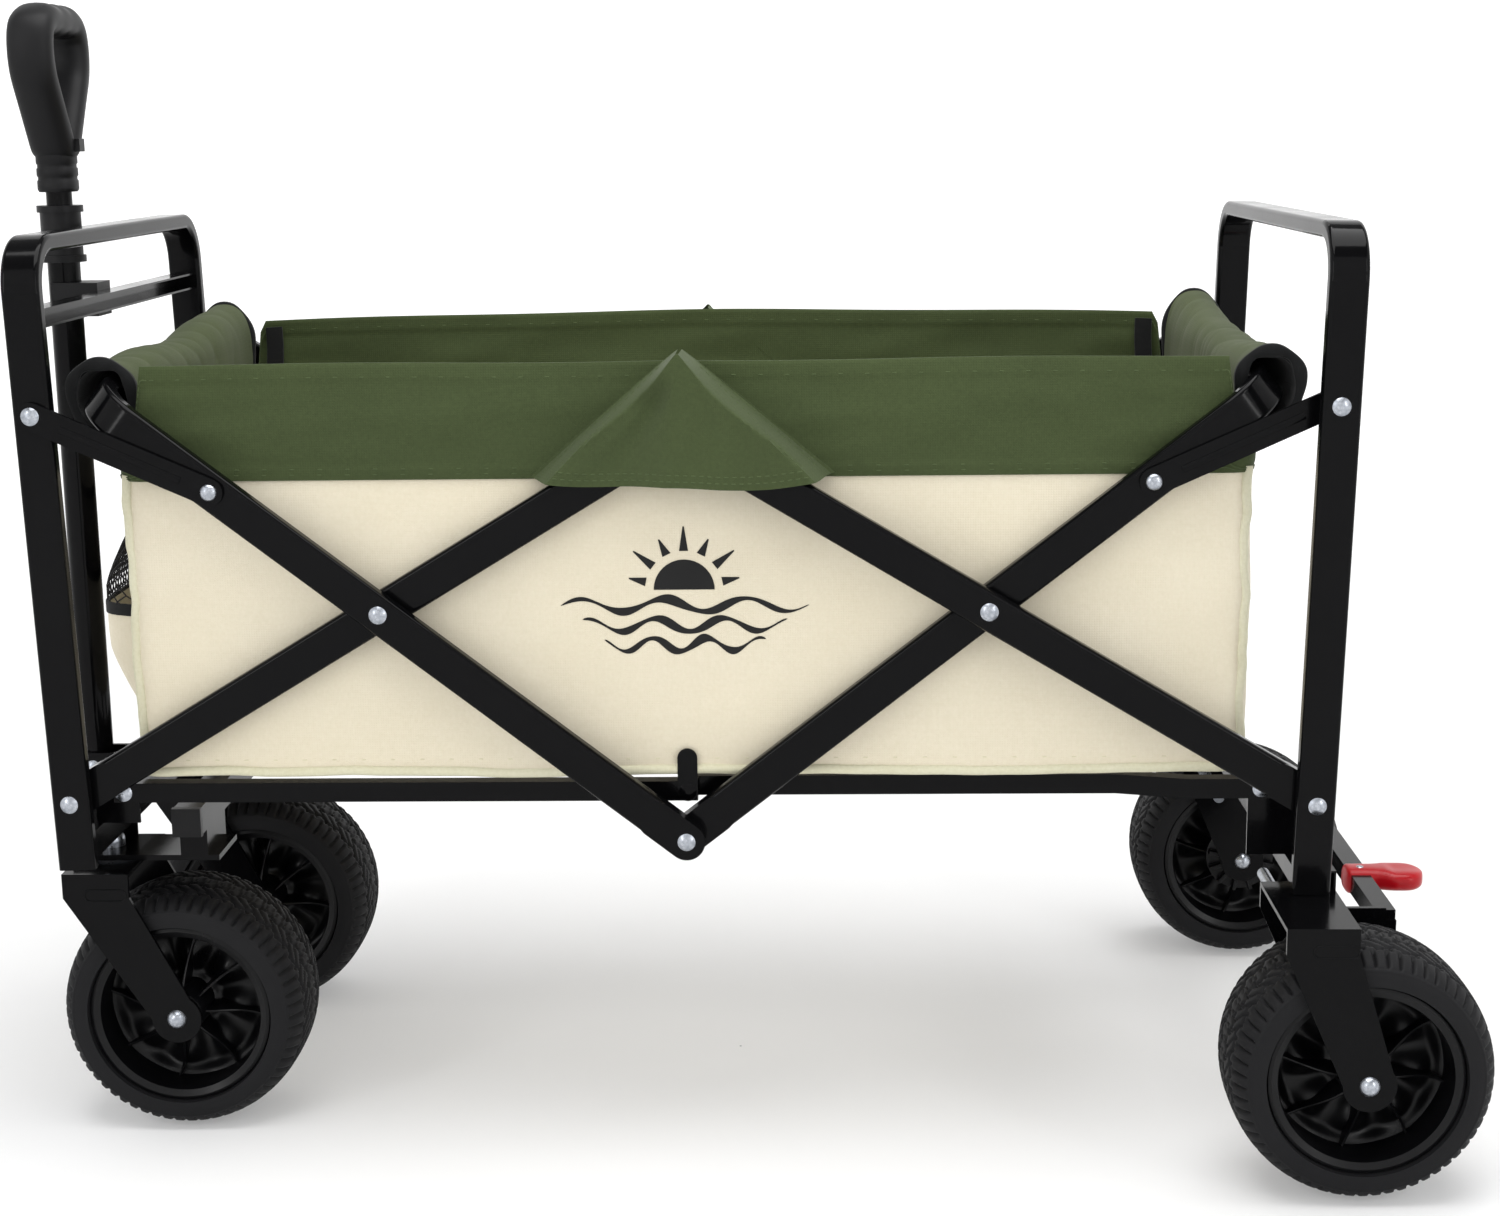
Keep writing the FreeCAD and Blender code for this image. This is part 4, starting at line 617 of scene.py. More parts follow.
def stitches(path, facing, pitch=5.2 * MM, length=3.6 * MM, thick=0.75 * MM):
    """A row of thread stitches: small six-sided grains set along a path every 'pitch', lying on the
    side that 'facing' points to."""
    count = max(int(run_length(path)[-1] / pitch), 2)
    spots = resample(np.concatenate([path, facing], -1), count)
    at, out = spots[:, :3], unit(spots[:, 3:])
    ahead = unit(np.gradient(at, axis=0))
    side = np.cross(ahead, out)
    t, a = grid(4, 7)
    girth = np.array([0, 1, 1, 0])[:, None] * thick / 2
    run = (np.array([-0.5, -0.3, 0.3, 0.5]) * length)[:, None]
    grains = (at[:, None, None] + ahead[:, None, None] * (run + 0 * a)[None, ..., None]
              + side[:, None, None] * (girth * np.cos(a * TAU))[None, ..., None]
              + out[:, None, None] * (girth * np.sin(a * TAU))[None, ..., None])
    return [(grain, no_map(grain)) for grain in grains]


def fold_up(piece):
    """Gives the piece its own copy of its mesh."""
    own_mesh(piece)
    return piece


# beige walls and floor cloth
wall_v = np.linspace(0, 1, 40)
panel, panel_map, panel_out = wall_points(PANEL_COLUMNS, wall_v, FLOOR_Z + 1 * MM, SEAM_Z + 6 * MM, BELLY,
                                          PANEL_SEED, 0.6 * MM)
cloth_parts = [double(panel, panel_map, -panel_out * WALL)]
t, s = grid(24, 60)
floor_x, floor_y = X0 + 3 * MM + (X1 - X0 - 6 * MM) * s, (t - 0.5) * 2 * (HALF_Y - 3 * MM)
floor_flat = np.stack([floor_x, floor_y], -1)
sag = 1.0 * MM * np.sin(math.pi * s) * np.sin(math.pi * t)
under = stack(floor_x, floor_y, FLOOR_Z + 0.4 * MM - sag)
cloth_parts.append(closed_sheet(under, floor_flat, np.array([0, 0, 2 * MM])))
fold_up(shape("basket_panels", cloth_parts, BEIGE, "basket", ("basket_shell",)))

# piping along the bottom and up the corners
plan, out, along = loop_plan(PANEL_COLUMNS, 0.8 * MM)
sway = 0.9 * MM * waves(along, 0 * along, 11)
low_path = np.concatenate([plan + out * sway[:, None] * 0.3, (FLOOR_Z + 3.4 * MM + sway)[:, None]], -1)
low_path[-1] = low_path[0]
piping = [carry(ring_profile(7 * MM, 7 * MM, 12), low_path, closed=True)]
for cx, cy, inward in CORNERS:
    z = np.linspace(FLOOR_Z + 3 * MM, SEAM_Z + 2 * MM, 70)
    sway = waves(z, 0 * z, 20 + inward + cy, (2, 4, 7)) * 0.9 * MM
    path = stack(cx + inward * (5.6 * MM + sway), cy * (HALF_Y - 5.2 * MM + 0.4 * sway), z)
    piping.append(carry(ring_profile(7.6 * MM, 7.6 * MM, 12), path, (0, cy, 0)))
fold_up(shape("panel_piping", piping, PIPING, "basket"))

# green top band, taller on the long sides than under the end rails, with a hem that is turned in
BAND_FOOT = SEAM_Z - 2 * MM
plan, out, along = loop_plan(BAND_COLUMNS)
near_end = np.minimum(plan[:, 0] - X0, X1 - plan[:, 0])
rise = smooth((near_end - 14 * MM) / (7 * MM))
far_lift = 6 * MM * (plan[:, 1] > 0) * np.sin(math.pi * np.clip(near_end / (X1 - X0), 0, 1))
band_top = END_TOP_Z + (TOP_Z - END_TOP_Z + far_lift * rise) * rise
band_top = band_top - 1.2 * MM * (0.5 + 0.5 * np.sin(along * 21)) * rise
band_v = np.concatenate([np.linspace(0, 0.12, 6), np.linspace(0.15, 0.84, 22), np.linspace(0.86, 1, 8)])
band, band_map, outwards = wall_points(BAND_COLUMNS, band_v, BAND_FOOT, band_top[None],
                                       1.5 * MM, 5, -0.9 * MM)
hem = smooth((band_v - 0.84) / 0.03) * (1 - smooth((band_v - 0.985) / 0.015))
foot_hem = smooth((0.125 - band_v) / 0.02)
thick = WALL + 1.3 * MM * hem + 0.9 * MM * foot_hem
band = band + outwards * (0.55 * MM * foot_hem + 0.45 * MM * hem)[:, None, None]
band_sheet = double(band, band_map, -outwards * thick[:, None, None])


HOOD_TOP, HOOD_FOOT = TOP_Z + 7 * MM, SEAM_Z - 0.5 * MM
HOOD_HALF = 103 * MM
HOOD_DEPTH, SHALLOW = 35.2 * MM, 14 * MM


def hood(sign):
    """The gusset over the top hinge of the bars: a tent whose half width grows evenly from its apex to
    its open foot and whose depth follows a plateau that falls to nothing at its two seams."""
    t, s = grid(44, 81)
    across = (s - 0.5) * 2
    top, foot = HOOD_TOP, HOOD_FOOT
    wide = 1.5 * MM + HOOD_HALF * t ** 0.96
    droop = 5 * MM * (1 - across ** 2) + 1.6 * MM * np.sin(across * 5 + sign)
    z = top - (top - foot) * t - droop * t ** 2
    shallow = smooth((-across - 0.05) / 0.4) * smooth((t - 0.12) / 0.3)
    depth = HOOD_DEPTH - SHALLOW * shallow
    start = 0.60 + 0.26 * smooth((t - 0.15) / 0.6)
    level = 1 - smooth((np.abs(across) - start) / (0.985 - start))
    crease = 1.4 * MM * np.sin(across * 9 + 4 * t) * smooth(t * 1.4) * (1 - across ** 2)
    y = HALF_Y + 2.6 * MM + depth * level - np.abs(crease) * level
    points = stack(MID_X + wide * across, sign * y, z)
    flat = np.stack([wide * across * 1.15, z * 1.1], -1)
    return points, flat


aprons, apron_thread = [], []
for sign in (-1, 1):
    points, flat = hood(sign)
    aprons.append(closed_sheet(points, flat, np.array([0, -sign * 1.3 * MM, 0])))
    for row in (-3, -5):
        apron_thread += stitches(points[row, 6:-6], np.tile([0, sign, 0.0], (69, 1)))
    for col in (2, 5, -3, -6):
        apron_thread += stitches(points[6:-4, col], np.tile([0, sign, 0.0], (34, 1)))
fold_up(shape("top_band", [band_sheet] + aprons, GREEN, "basket", ("basket_top_band",)))
fold_up(shape("apron_stitching", apron_thread, THREAD, "basket"))

band_thread = []
for row in (2, 4, 29):
    band_thread += stitches(band[row], outwards)
for row in (3, 30):
    inside = band[row] - outwards * thick[row]
    band_thread += stitches(inside, -outwards)
fold_up(shape("band_stitching", band_thread, THREAD, "basket"))
panel_thread = stitches(panel[2], panel_out, 5.6 * MM)
panel_thread += stitches(panel[3] - panel_out * WALL, -panel_out, 5.6 * MM)
fold_up(shape("panel_stitching", panel_thread, PALE_THREAD, "basket"))

# black binding up the four inner corners of the band
bindings = []
for cx, cy, inward in CORNERS:
    z = np.linspace(SEAM_Z + 2 * MM, TOP_Z - 5 * MM, 24)
    path = stack(cx + inward * (29 * MM + 1.5 * MM * np.sin(z * 60)), cy * (HALF_Y - 3.2 * MM), z)
    bindings.append(carry(ring_profile(14 * MM, 2.4 * MM, 12, 6), path, (0, cy, 0)))
fold_up(shape("corner_binding", bindings, BINDING, "basket"))


# ---- padded end sleeves -----------------------------------------------------------------------


SLEEVE_REACH = 173 * MM
SLEEVE_HALF, SLEEVE_RISE, SLEEVE_DROP = 21 * MM, 22.5 * MM, 13 * MM
GATHER = 1.7 * MM


def sleeve(name, node, body, outward):
    """A padded sleeve round an end rail: rounded-teardrop sections, gathered along Y by sharp folds
    (1 - |sin|)^1.8, fuller towards the far end and flared at its mouths. It has two walls."""
    low, high = span(node)
    middle = (low + high) / 2
    reach = SLEEVE_REACH
    t, s = grid(230, 73)
    y = (t - 0.5) * 2 * reach
    a = s * TAU
    phase = rng.uniform(0, TAU, 6)
    pinch = 0 * t
    for k, turns in enumerate((3.3, 6.1, 10.7)):
        drift = 1.1 * np.sin(a + phase[k]) + 1.3 * np.sin(TAU * t * 1.4 + phase[5 - k])
        strength = 0.55 + 0.45 * np.sin(a * (1 + k) + 5 * t + phase[k + 1])
        fold = (1 - np.abs(np.sin(math.pi * turns * t + phase[k + 3] + drift))) ** 1.8
        pinch = pinch + fold * strength / (k * 0.7 + 1.1)
    mouth = smooth((np.abs(y) - reach + 30 * MM) / (30 * MM))
    calm = 1 - 0.8 * smooth((np.abs(y) - reach + 12 * MM) / (12 * MM))
    under = np.clip(-np.sin(a), 0, 1)
    puff = 1.5 * MM * np.sin(TAU * t * 2.2 + phase[0]) + 13 * MM * smooth((y - 10 * MM) / (150 * MM))
    wide = SLEEVE_HALF + 1.2 * MM * np.sin(TAU * t * 1.7 + phase[1]) + 2.2 * MM * mouth
    drop = SLEEVE_DROP + 3 * MM * np.sin(t * 17 + phase[2])
    tall = SLEEVE_RISE + puff + 2.6 * MM * mouth + under * drop
    c, n = np.cos(a), np.sin(a)
    bulk = 1 - GATHER * pinch * calm / wide
    x = middle[0] + np.sign(c) * np.abs(c) ** 0.86 * wide * bulk + outward * 1.5 * MM
    x = x - outward * under * 3 * MM
    z = middle[2] + np.sign(n) * np.abs(n) ** 0.86 * tall * bulk
    lean = 2.2 * MM * np.sin(a) * mouth * np.sign(y)
    outer = stack(x, y + lean, z)
    heart = stack(middle[0] + 0 * a, y, middle[2] - 5 * MM)
    inner = heart + (outer - heart) * 0.86
    inner[..., 1] = y
    flat = np.stack([s * 0.16, y], -1)
    points = np.concatenate([outer, inner[::-1], outer[:1]])
    padded = shape(name, [(points, np.concatenate([flat, flat[::-1], flat[:1]]))], GREEN_DARK, body,
                   (node,))
    rims = []
    for end in (0, -1):
        loop = (outer[end] + inner[end]) / 2
        lumps = 1 + 0.22 * np.sin(np.linspace(0, TAU * 5, len(loop)))
        rims.append(carry(ring_profile(8 * MM, 5 * MM, 12, 3), loop, (0, 1, 0), closed=True,
                          scale=lumps))
    shape(name + "_binding", rims, BINDING, body)
    # a black sheet just inside the green inner wall: painted shade, so the sleeve's hollow reads dark past
    # its mouths
    inside = heart + (outer - heart) * 0.84
    inside[..., 1] = y * 0.985
    inmost = heart + (outer - heart) * 0.80
    inmost[..., 1] = y * 0.985
    painted_shade_lining = np.concatenate([inside, inmost[::-1], inside[:1]])
    shape(name + "_lining", [(painted_shade_lining, np.concatenate([flat, flat[::-1], flat[:1]]))], BINDING, body)


sleeve("front_padded_sleeve", "front_sleeve", "front_u", -1)
sleeve("rear_padded_sleeve", "rear_sleeve", "rear_u", 1)


# ---- front pocket -----------------------------------------------------------------------------

pocket_low, pocket_high = span("front_pocket")
POCKET_HALF = pocket_high[1]
POCKET_OUT = pocket_low[0] - 18 * MM  # it hangs further out than its plain solid


def pocket_face(z, y):
    """The pocket's face: x falls from the panel by a belly sin(pi v)^1.2 times 1 - |y/half|^14, so it
    hangs open at its net top, sags at its foot and is sewn down along both sides."""
    v = (z - pocket_low[2]) / (pocket_high[2] - pocket_low[2])
    belly = 0.35 + 0.9 * np.sin(math.pi * np.clip(v * 0.82 + 0.12, 0, 1)) ** 1.2
    ends = 1 - np.abs(y / POCKET_HALF) ** 14
    return X0 - 1.5 * MM + (POCKET_OUT + 1.2 * MM - X0) * np.clip(belly, 0, 1.15) * ends / 1.15


NET_FOOT = pocket_low[2] + 0.52 * (pocket_high[2] - pocket_low[2])
t, s = grid(22, 120)
z = pocket_low[2] + 2 * MM + (NET_FOOT - pocket_low[2]) * t
y = (s - 0.5) * 2 * (POCKET_HALF - 1 * MM)
crumple = 0.9 * MM * waves(y, t * 0.2, 41, (2, 5, 9)) * np.sin(math.pi * s)
face = stack(np.maximum(pocket_face(z, y) + crumple, POCKET_OUT), y, z)
pocket_parts = [closed_sheet(face, np.stack([y, z], -1), np.array([1.4 * MM, 0, 0]))]
foot_z, foot_y = pocket_low[2] + 2 * MM, y[0]
t, s = grid(8, 120)
base = stack(pocket_face(foot_z, foot_y)[None] * (1 - t) + (X0 - 0.8 * MM) * t, foot_y[None] + 0 * t,
             foot_z + 0.6 * MM * np.sin(math.pi * t))
pocket_parts.append(closed_sheet(base, base[..., :2], np.array([0, 0, 1.4 * MM])))
fold_up(shape("pocket_cloth", pocket_parts, BEIGE, "basket", ("front_pocket",)))

# the pocket's net: threads on both diagonals over the same face, with a bound top edge
NET_SPAN, NET_PITCH, NET_LEAN, NET_THREAD = 240 * MM, 6.5 * MM, 0.62, 1.1 * MM
net_threads = []
top = pocket_high[2] - 2 * MM
for way in (-1, 1):
    for start in np.arange(-NET_SPAN, NET_SPAN, NET_PITCH):
        z = np.linspace(NET_FOOT, top, 13)
        y = start + way * (z - NET_FOOT) * NET_LEAN + 0.7 * MM * np.sin(z * 900)
        keep = np.abs(y) < POCKET_HALF - 2 * MM
        if keep.sum() < 3:
            continue
        path = stack(pocket_face(z[keep], y[keep]), y[keep], z[keep])
        net_threads.append(carry(ring_profile(NET_THREAD, NET_THREAD, 5), path, (1, 0, 0)))
fold_up(shape("pocket_net", net_threads, NET, "basket"))
y = np.linspace(-POCKET_HALF + 1 * MM, POCKET_HALF - 1 * MM, 60)
hems = []
for z in (top, NET_FOOT):
    path = stack(pocket_face(z + 0 * y, y) - 0.3 * MM, y, z + 0 * y)
    hems.append(carry(ring_profile(2.6 * MM, 9 * MM, 12, 6), path, (0, 0, 1)))
for side in (-1, 1):
    z = np.linspace(pocket_low[2] + 2 * MM, top, 30)
    path = stack(X0 - 2 * MM + 0 * z, side * (POCKET_HALF - 1.5 * MM) + 0 * z, z)
    hems.append(carry(ring_profile(8 * MM, 2.4 * MM, 12, 6), path, (1, 0, 0)))
fold_up(shape("pocket_binding", hems, BINDING, "basket"))


# ---- printed emblem on the side panels --------------------------------------------------------


def on_panel(x, z, side, lift):
    """Points on a long side panel at x and z, standing 'lift' off the cloth."""
    length = along_panel[-1]
    u = np.where(side < 0, x - MID_X, length / 2 - (x - MID_X)) % length
    v = (z - FLOOR_Z - 1 * MM) / (SEAM_Z + 5 * MM - FLOOR_Z)
    push = side_push(u, v, BELLY, PANEL_SEED, length)
    return stack(x, side * (HALF_Y - 0.6 * MM + push + lift), z)


along_panel = loop_plan(PANEL_COLUMNS, 0.6 * MM)[2]


def printed(x, z, side):
    """A patch of ink 0.3 mm thick on a long side panel, a little clear of the cloth."""
    points = on_panel(x, z, side, 0.35 * MM)
    return closed_sheet(points, np.stack([x, z], -1), np.array([0, -side * 0.3 * MM, 0]))


SUN_RADIUS, SUN_Z = 21 * MM, 408 * MM
RAYS, SWELLS = 7, 3


def emblem(side):
    """A rising sun over three swells. The sun is a half disc with seven tapering rays; each swell is a
    ribbon z = h sin(2 pi n x) whose thickness falls to nothing at its ends."""
    t, s = grid(10, 60)
    a = s * math.pi
    sun_x = MID_X + SUN_RADIUS * (0.001 + t) * np.cos(a)  # a hair's width, so that it keeps a middle line
    patches = [printed(sun_x, SUN_Z + SUN_RADIUS * t * np.sin(a), side)]
    for k in range(RAYS):
        t, s = grid(8, 7)
        turn = math.radians(12 + 26 * k)
        r = SUN_RADIUS + 6 * MM + (17 if k % 2 else 12) * MM * t
        off = (s - 0.5) * 6.2 * MM * (1 - 0.86 * t)
        x = MID_X + r * math.cos(turn) - off * math.sin(turn)
        z = SUN_Z + r * math.sin(turn) + off * math.cos(turn)
        patches.append(printed(x, z, side))
    for k in range(SWELLS):
        t, s = grid(6, 120)
        reach = (86 - 15 * k) * MM
        x = MID_X + (s - 0.5) * 2 * reach
        half = 3.9 * MM * (1 - np.abs(s - 0.5) * 2) ** 0.45 * (0.72 + 0.28 * np.sin(s * 31 + k))
        crest = 4.6 * MM * np.sin(TAU * 3 * s + 1.1 * k)
        z = SUN_Z - (11 + 14 * k) * MM + crest + (t - 0.5) * 2 * half
        patches.append(printed(x, z, side))
    return patches


fold_up(shape("side_print", emblem(-1) + emblem(1), PRINT_INK, "basket", weld=1e-7))


# ---- floor panels -----------------------------------------------------------------------------


CHANNELS = 4


def floor_panel(name, node, body):
    """A cloth-covered board: a rounded slab whose top is quilted in sewn channels across the cart."""
    low, high = span(node)
    t, s = grid(70, 70)
    edge = np.minimum(np.minimum(t, 1 - t) * (high[0] - low[0]), np.minimum(s, 1 - s) * (high[1] - low[1]))
    x, y = low[0] + (high[0] - low[0]) * t, low[1] + (high[1] - low[1]) * s
    channel = np.abs(np.sin(math.pi * t * CHANNELS)) ** 0.35
    shoulder = smooth(edge / (5 * MM))
    top = high[2] - 2.6 * MM + 2.6 * MM * shoulder * channel
    upper = stack(x, y, top)
    lower = stack(x, y, low[2] + 0.9 * MM * (1 - shoulder))
    flat = np.stack([x, y], -1)
    sheet = closed_sheet(upper, flat, lower - upper)
    shape(name, [sheet], GREEN_DARK, body, (node,), crease=60)
    seams = []
    for k in range(1, CHANNELS):
        seam_x = low[0] + (high[0] - low[0]) * k / CHANNELS
        path = stack(seam_x + 0 * s[0], y[0], high[2] - 2.4 * MM)[4:-4]
        seams += stitches(path, np.tile([0, 0, 1.0], (len(path), 1)), 6 * MM, 4 * MM, 1.0 * MM)
    shape(name + "_seams", seams, THREAD, body)


floor_panel("front_floor_panel", "front_floor_board", "front_floor")
floor_panel("rear_floor_panel", "rear_floor_board", "rear_floor")


# ---- pull handle grip -------------------------------------------------------------------------

grip_low, grip_high = span("handle_grip")
GRIP_X = (grip_low[0] + grip_high[0]) / 2
GRIP_TOP, GRIP_FOOT = grip_high[2], grip_low[2]
LOOP_REACH = 42 * MM
LOOP_DROP = 12.5 * MM  # from the grip's top to the middle of its top bar
FINGER_PITCH = 21 * MM


def grip_loop():
    """A D-shaped loop on a neck. The loop's path is a teardrop in the YZ plane, wide at the top; its
    section is an oval, deep along X, that swells in finger ridges along the top bar."""
    bar, waist, neck_top = GRIP_TOP - LOOP_DROP, GRIP_TOP - 48 * MM, GRIP_FOOT + 32 * MM
    half = [(GRIP_X, 0, bar), (GRIP_X, LOOP_REACH, bar), (GRIP_X, LOOP_REACH, waist),
            (GRIP_X, 5 * MM, neck_top)]
    corners = half + [(x, -y, z) for x, y, z in reversed(half)]
    path = round_path(corners, [22 * MM, 12 * MM, 4.4 * MM, 4.4 * MM, 12 * MM, 22 * MM], 240)
    around = np.arctan2(path[:, 1], path[:, 2] - (GRIP_TOP + GRIP_FOOT) / 2 - 15 * MM)
    top_bar = smooth((path[:, 2] - GRIP_TOP + 30 * MM) / (14 * MM))
    ridges = 0.055 * np.cos(path[:, 1] / FINGER_PITCH * TAU) * top_bar
    size = 1 + ridges + 0.05 * top_bar - 0.06 * bump(np.abs(around) - 2.2, 0.5)
    ring = ring_profile(33 * MM, 22 * MM, 28, 2.5)
    ahead = unit(np.gradient(path, axis=0))
    ahead[0] = ahead[-1] = (0, 1, 0)
    across = np.cross(ahead, (1.0, 0, 0))
    points = (path[:, None] + ring[None, :, 0, None] * np.array([1.0, 0, 0])
              + ring[None, :, 1, None] * across[:, None] * size[:, None, None])
    flat = np.stack(np.broadcast_arrays(run_length(path)[:, None], run_length(ring)[None]), -1)
    z = np.array([0, 0, 2, 3, 8, 9, 11, 12, 17, 18, 20, 21, 27, 32, 40, 46]) * MM + GRIP_FOOT
    girth = np.array([20, 27, 29, 29, 29, 27.5, 27.5, 29, 29, 27.5, 27.5, 29, 29, 29, 25, 8]) / 29
    loop = ring_profile(29 * MM, 29 * MM, 28, 2.6)
    neck = stack(GRIP_X + loop[None, :, 0] * girth[:, None], loop[None, :, 1] * girth[:, None],
                 z[:, None] + 0 * loop[None, :, 0])
    neck, neck_flat = pole(neck, no_map(neck), neck[0].mean(0), neck[-1].mean(0))
    return [(points, flat), (neck, neck_flat)]


shape("pull_grip", grip_loop(), GRIP_TPE, "handle_slide", ("handle_grip",), crease=50)


# ---- brake pedal ------------------------------------------------------------------------------

pedal_low, pedal_high = span("brake_pedal")


def pedal():
    """A moulded pedal: superellipse sections carried along X, deepest where it saddles the bar, then
    broad and thin, rounded to its tip and dished on top."""
    s = np.concatenate([[0, 0.004], np.linspace(0.02, 0.97, 50), [0.988, 0.997, 1]])[:, None]
    a = np.linspace(0, TAU, 37)[None]
    x = pedal_low[0] + (pedal_high[0] - pedal_low[0]) * s
    middle_y = (pedal_low[1] + pedal_high[1]) / 2
    nose = np.sqrt(np.clip(1 - np.clip((s - 0.72) / 0.28, 0, 1) ** 2.4, 0, 1))
    heel = np.sqrt(np.clip(1 - np.clip((0.07 - s) / 0.07, 0, 1) ** 2, 0, 1))
    half_y = (12.5 * MM + 5.3 * MM * smooth((s - 0.34) / 0.3)) * nose * heel
    saddle = 1 - smooth((s - 0.30) / 0.14)
    half_z = (8.2 * MM + 1.6 * MM * saddle) * (0.45 + 0.55 * nose) * heel
    mid_z = pedal_high[2] - 8.6 * MM - 1.4 * MM * saddle + 0 * s
    c, n = np.cos(a), np.sin(a)
    y = middle_y + np.sign(c) * np.abs(c) ** 0.7 * half_y
    dish = 1.6 * MM * np.clip(n, 0, 1) * (1 - np.abs(c)) * smooth((s - 0.5) / 0.15) * nose
    z = mid_z + np.sign(n) * np.abs(n) ** 0.7 * half_z - dish
    points = stack(x, y, z)
    return pole(points, no_map(points), points[0].mean(0), points[-1].mean(0))


shape("foot_pedal", [pedal()], RED_PP, "brake", ("brake_pedal",), crease=50)


def stud(at, facing, radius, height):
    """A rivet head: a dome r = R cos(a), h = H sin(a) on a flat foot, turned about 'facing'."""
    facing = unit(np.array(facing, float))
    side = unit(np.cross(facing, (0.3, 0.5, 0.8)))
    other = np.cross(facing, side)
    a = np.linspace(0, math.pi / 2, 9)[:, None]
    b = np.linspace(0, TAU, 33)[None]
    dome = (np.array(at) + side * (radius * np.cos(a) * np.cos(b))[..., None]
            + other * (radius * np.cos(a) * np.sin(b))[..., None]
            + facing * (height * np.sin(a) + 0 * b)[..., None])
    foot = np.tile(dome[0].mean(0), (1, 33, 1))
    points = np.concatenate([foot, dome])
    return points, no_map(points)


shape("pedal_rivet", [stud((pedal_low[0] + 12 * MM, (pedal_low[1] + pedal_high[1]) / 2 - 2 * MM,
                            pedal_high[2] - 1.4 * MM), (0, 0, 1), 3.4 * MM, 1.9 * MM)], ZINC, "brake")


# ---- rivet heads and pressed ribs on the links ------------------------------------------------


LINK_EYE = 9.5 * MM  # from a link's end to the middle of its eye
LINK_FACE = 2.4 * MM  # how far the links' outer faces lie inside the ends of their pins

for place in ("front", "rear"):
    low, high = span(place + "_links")
    eyes = (high[0] - LINK_EYE, low[0] + LINK_EYE)
    inner_x, outer_x = eyes if place == "front" else eyes[::-1]
    heads, ribs = [], []
    for sign in (-1, 1):
        face = sign * (high[1] - LINK_FACE)
        heads.append(stud((inner_x, face, low[2] + LINK_EYE), (0, sign, 0), 5.8 * MM, 3.4 * MM))
        s = np.linspace(0.16, 0.84, 30)
        path = stack(inner_x + (outer_x - inner_x) * s, face + 0 * s,
                     low[2] + LINK_EYE + (high[2] - low[2] - 2 * LINK_EYE) * s)
        ribs.append(carry(ring_profile(5 * MM, 2.0 * MM, 12, 2.4), path, (0, sign, 0)))
    shape(place + "_link_heads", heads, ZINC, place + "_link_pair")
    shape(place + "_link_ribs", ribs, COAT, place + "_link_pair")


# ---- pressed beads on the forks ---------------------------------------------------------------

BEAD_HALF, BEAD_END, BEAD_WIRE = 15 * MM, 4.2 * MM, 0.6 * MM


def pill_bead(middle):
    """A pressed bead round a pill: a half-sunk round wire along two straights and two half circles."""
    a = np.linspace(0, TAU, 61)
    x = BEAD_END * np.cos(a) + np.sign(np.cos(a)) * (BEAD_HALF - BEAD_END)
    path = stack(middle[0] + x, middle[1] + 0 * a, middle[2] + BEAD_END * np.sin(a))
    return carry(ring_profile(2 * BEAD_WIRE, 2 * BEAD_WIRE, 10), path, (0, 1, 0), closed=True)


for side in ("near", "far"):
    for place, top_x, body in (("front", 0.86 * 36 * MM, "caster_" + side),
                               ("rear", 0.86 * 38 * MM, "rear_frame")):
        low, high = span(place + "_fork_" + side)
        beads = []
        for face in (low[1], high[1]):
            beads.append(pill_bead((low[0] + top_x, face, high[2] - 16 * MM)))
        shape(place + "_fork_bead_" + side, beads, COAT, body)


# ---- camera, light and floor ------------------------------------------------------------------


CAMERA_AT = (0.07157, -1.7833, 0.72268)
YAW, PITCH, ROLL = -1.91, 11.58, -0.76  # degrees: turned left, looking down, tipped


def camera():
    """A camera at the near side of the cart, a little to the right of its middle and above it."""
    data = bpy.data.cameras.new("view")
    data.sensor_width, data.lens = 36, 56.8
    data.clip_start, data.clip_end = 0.05, 60
    yaw, pitch, roll = math.radians(YAW), math.radians(PITCH), math.radians(ROLL)
    ahead = np.array([math.sin(yaw) * math.cos(pitch), math.cos(yaw) * math.cos(pitch), -math.sin(pitch)])
    right = np.array([math.cos(yaw), -math.sin(yaw), 0])
    up = np.cross(right, ahead)
    turned_right = math.cos(roll) * right + math.sin(roll) * up
    turned_up = -math.sin(roll) * right + math.cos(roll) * up
    made = bpy.data.objects.new("view", data)
    bpy.context.scene.collection.objects.link(made)
    place = Matrix.Identity(4)
    for row in range(3):
        place[row] = (turned_right[row], turned_up[row], -ahead[row], CAMERA_AT[row])
    made.matrix_world = place
    bpy.context.scene.camera = made


ROOM_GLOW = 0.3
FLOOR_GLOW, WALL_GLOW = 0.24, 0.66  # the paper's own light near the cart and far from it
BOWL_RADIUS, BOWL_ROUND = 7, 3  # metres


def lamp(name, at, aim, size, power):
    """An area light at a point, facing another."""
    data = bpy.data.lights.new(name, "AREA")
    data.shape, data.size, data.size_y, data.energy = "RECTANGLE", size[0], size[1], power
    made = bpy.data.objects.new(name, data)
    bpy.context.scene.collection.objects.link(made)
    back = unit(np.array(at, float) - np.array(aim, float))
    right = unit(np.cross((0, 0, 1.0), back) if abs(back[2]) < 0.99 else np.array([1.0, 0, 0]))
    up = np.cross(back, right)
    place = Matrix.Identity(4)
    for row in range(3):
        place[row] = (right[row], up[row], back[row], at[row])
    made.matrix_world = place


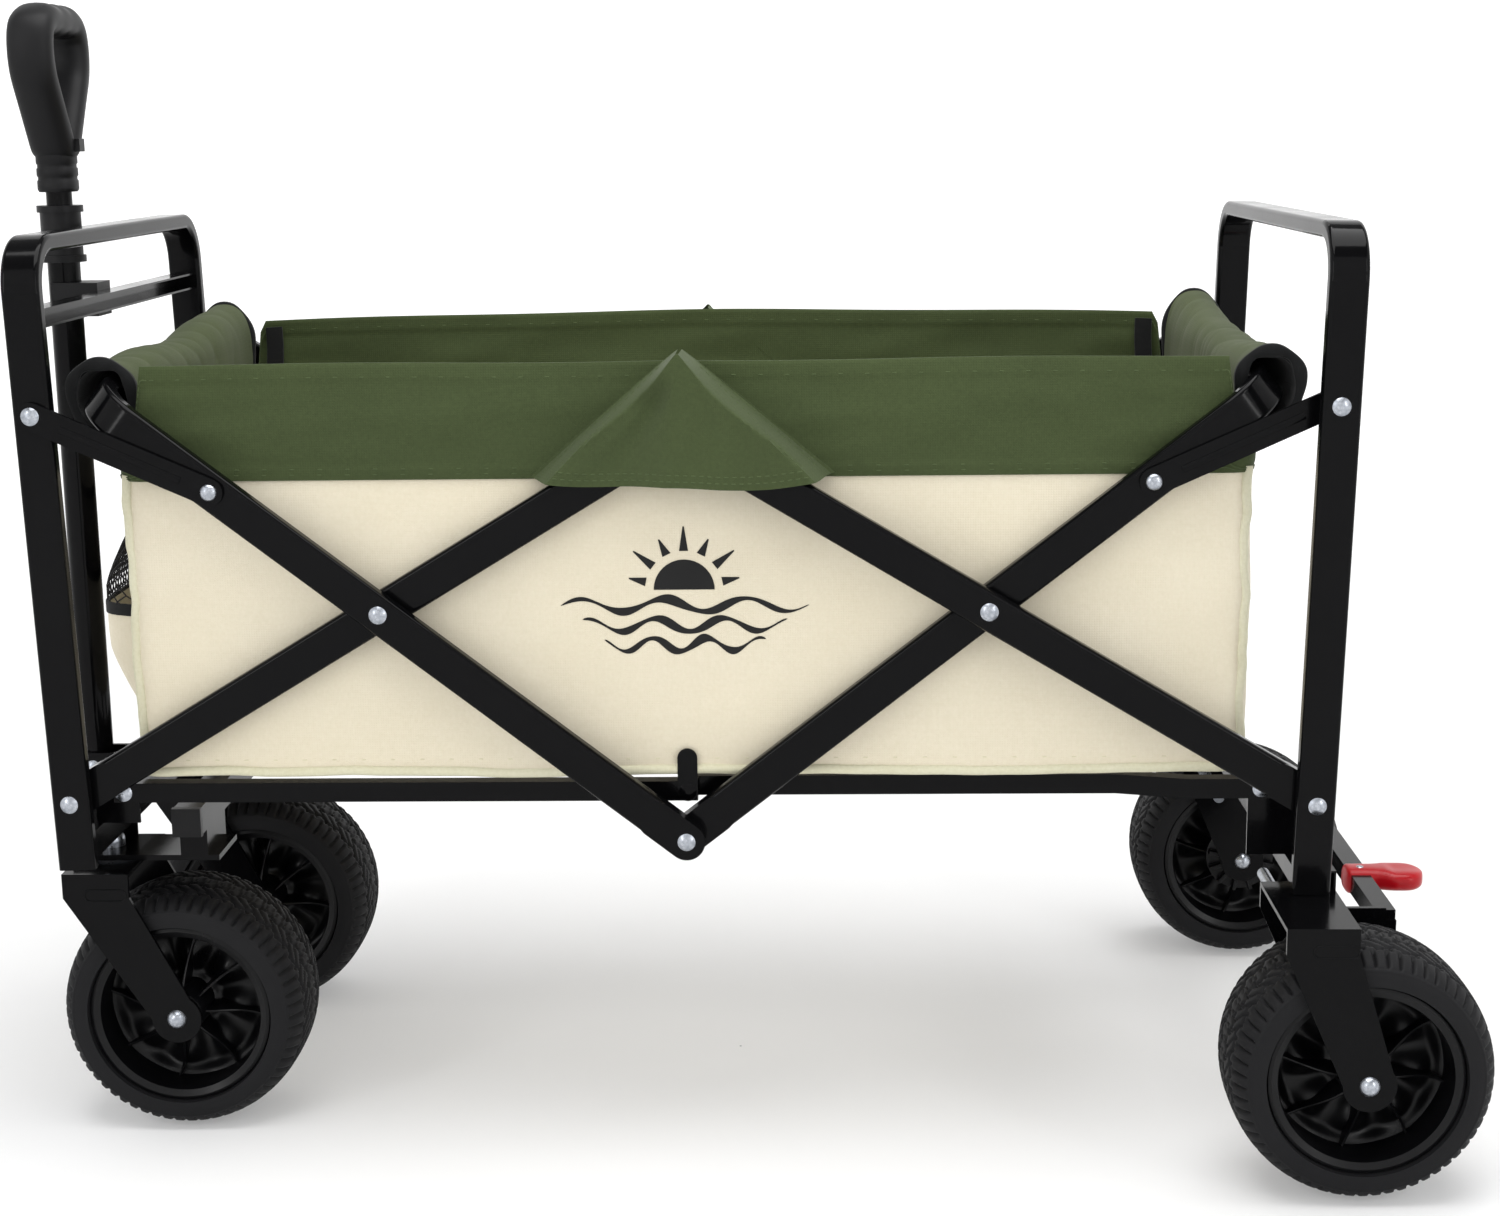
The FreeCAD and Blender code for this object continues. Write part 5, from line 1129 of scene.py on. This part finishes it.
def studio():
    """A pale paper bowl, turned about Z: flat round the cart and curving up to a wall on every side, in
    a white room with one broad light overhead and two narrow ones at the near side."""
    paper, tree, shader = finish_of("pale_studio_paper", Roughness=0.9, Specular_IOR_Level=0.1,
                                    Base_Color=linear("#CBCBCB"), Emission_Color=linear("#FFFFFF"))
    solid = add(tree, "TexCoord")
    distance = add(tree, "VectorMath", {0: solid.outputs["Object"]}, operation="LENGTH")
    glow = add(tree, "MapRange", {"Value": distance.outputs["Value"], "From Min": 1.0, "From Max": 3.5,
                                  "To Min": FLOOR_GLOW, "To Max": WALL_GLOW})
    tree.links.new(glow.outputs["Result"], shader.inputs["Emission Strength"])
    grain = add(tree, "TexNoise", {"Vector": solid.outputs["Object"], "Scale": 60.0})
    tree.links.new(add(tree, "Bump", {"Height": grain.outputs["Fac"], "Strength": 0.02}).outputs["Normal"],
                   shader.inputs["Normal"])
    profile = round_path([(0.001, 0, -0.0005), (BOWL_RADIUS, 0, -0.0005), (BOWL_RADIUS, 0, BOWL_RADIUS)],
                         [BOWL_ROUND], 40)
    a = np.linspace(0, TAU, 65)[None]
    points = stack(profile[:, :1] * np.cos(a), profile[:, :1] * np.sin(a), profile[:, 2:] + 0 * a)
    mesh = bpy.data.meshes.new("studio_floor")
    i, j = np.meshgrid(np.arange(39), np.arange(64), indexing="ij")
    at = i * 65 + j
    mesh.from_pydata(points.reshape(-1, 3).tolist(), [],
                     np.stack([at, at + 65, at + 66, at + 1], -1).reshape(-1, 4).tolist())
    mesh.shade_smooth()
    mesh.materials.append(paper)
    floor = bpy.data.objects.new("studio_floor", mesh)
    bpy.context.scene.collection.objects.link(floor)
    world = bpy.data.worlds.new("white_room")
    world.use_nodes = True
    world.node_tree.nodes["Background"].inputs["Color"].default_value = linear("#FFFFFF")
    world.node_tree.nodes["Background"].inputs["Strength"].default_value = ROOM_GLOW
    bpy.context.scene.world = world
    lamp("overhead_softbox", (0.2, -0.3, 2.6), (0, 0, 0.3), (2.6, 1.8), 76)
    lamp("near_left_softbox", (-2.2, -2.6, 1.7), (0, 0, 0.4), (0.3, 1.8), 16)
    lamp("near_right_softbox", (2.4, -2.4, 1.5), (0, 0, 0.4), (0.26, 1.8), 13)


camera()
studio()
bpy.context.scene.view_settings.view_transform = "Standard"
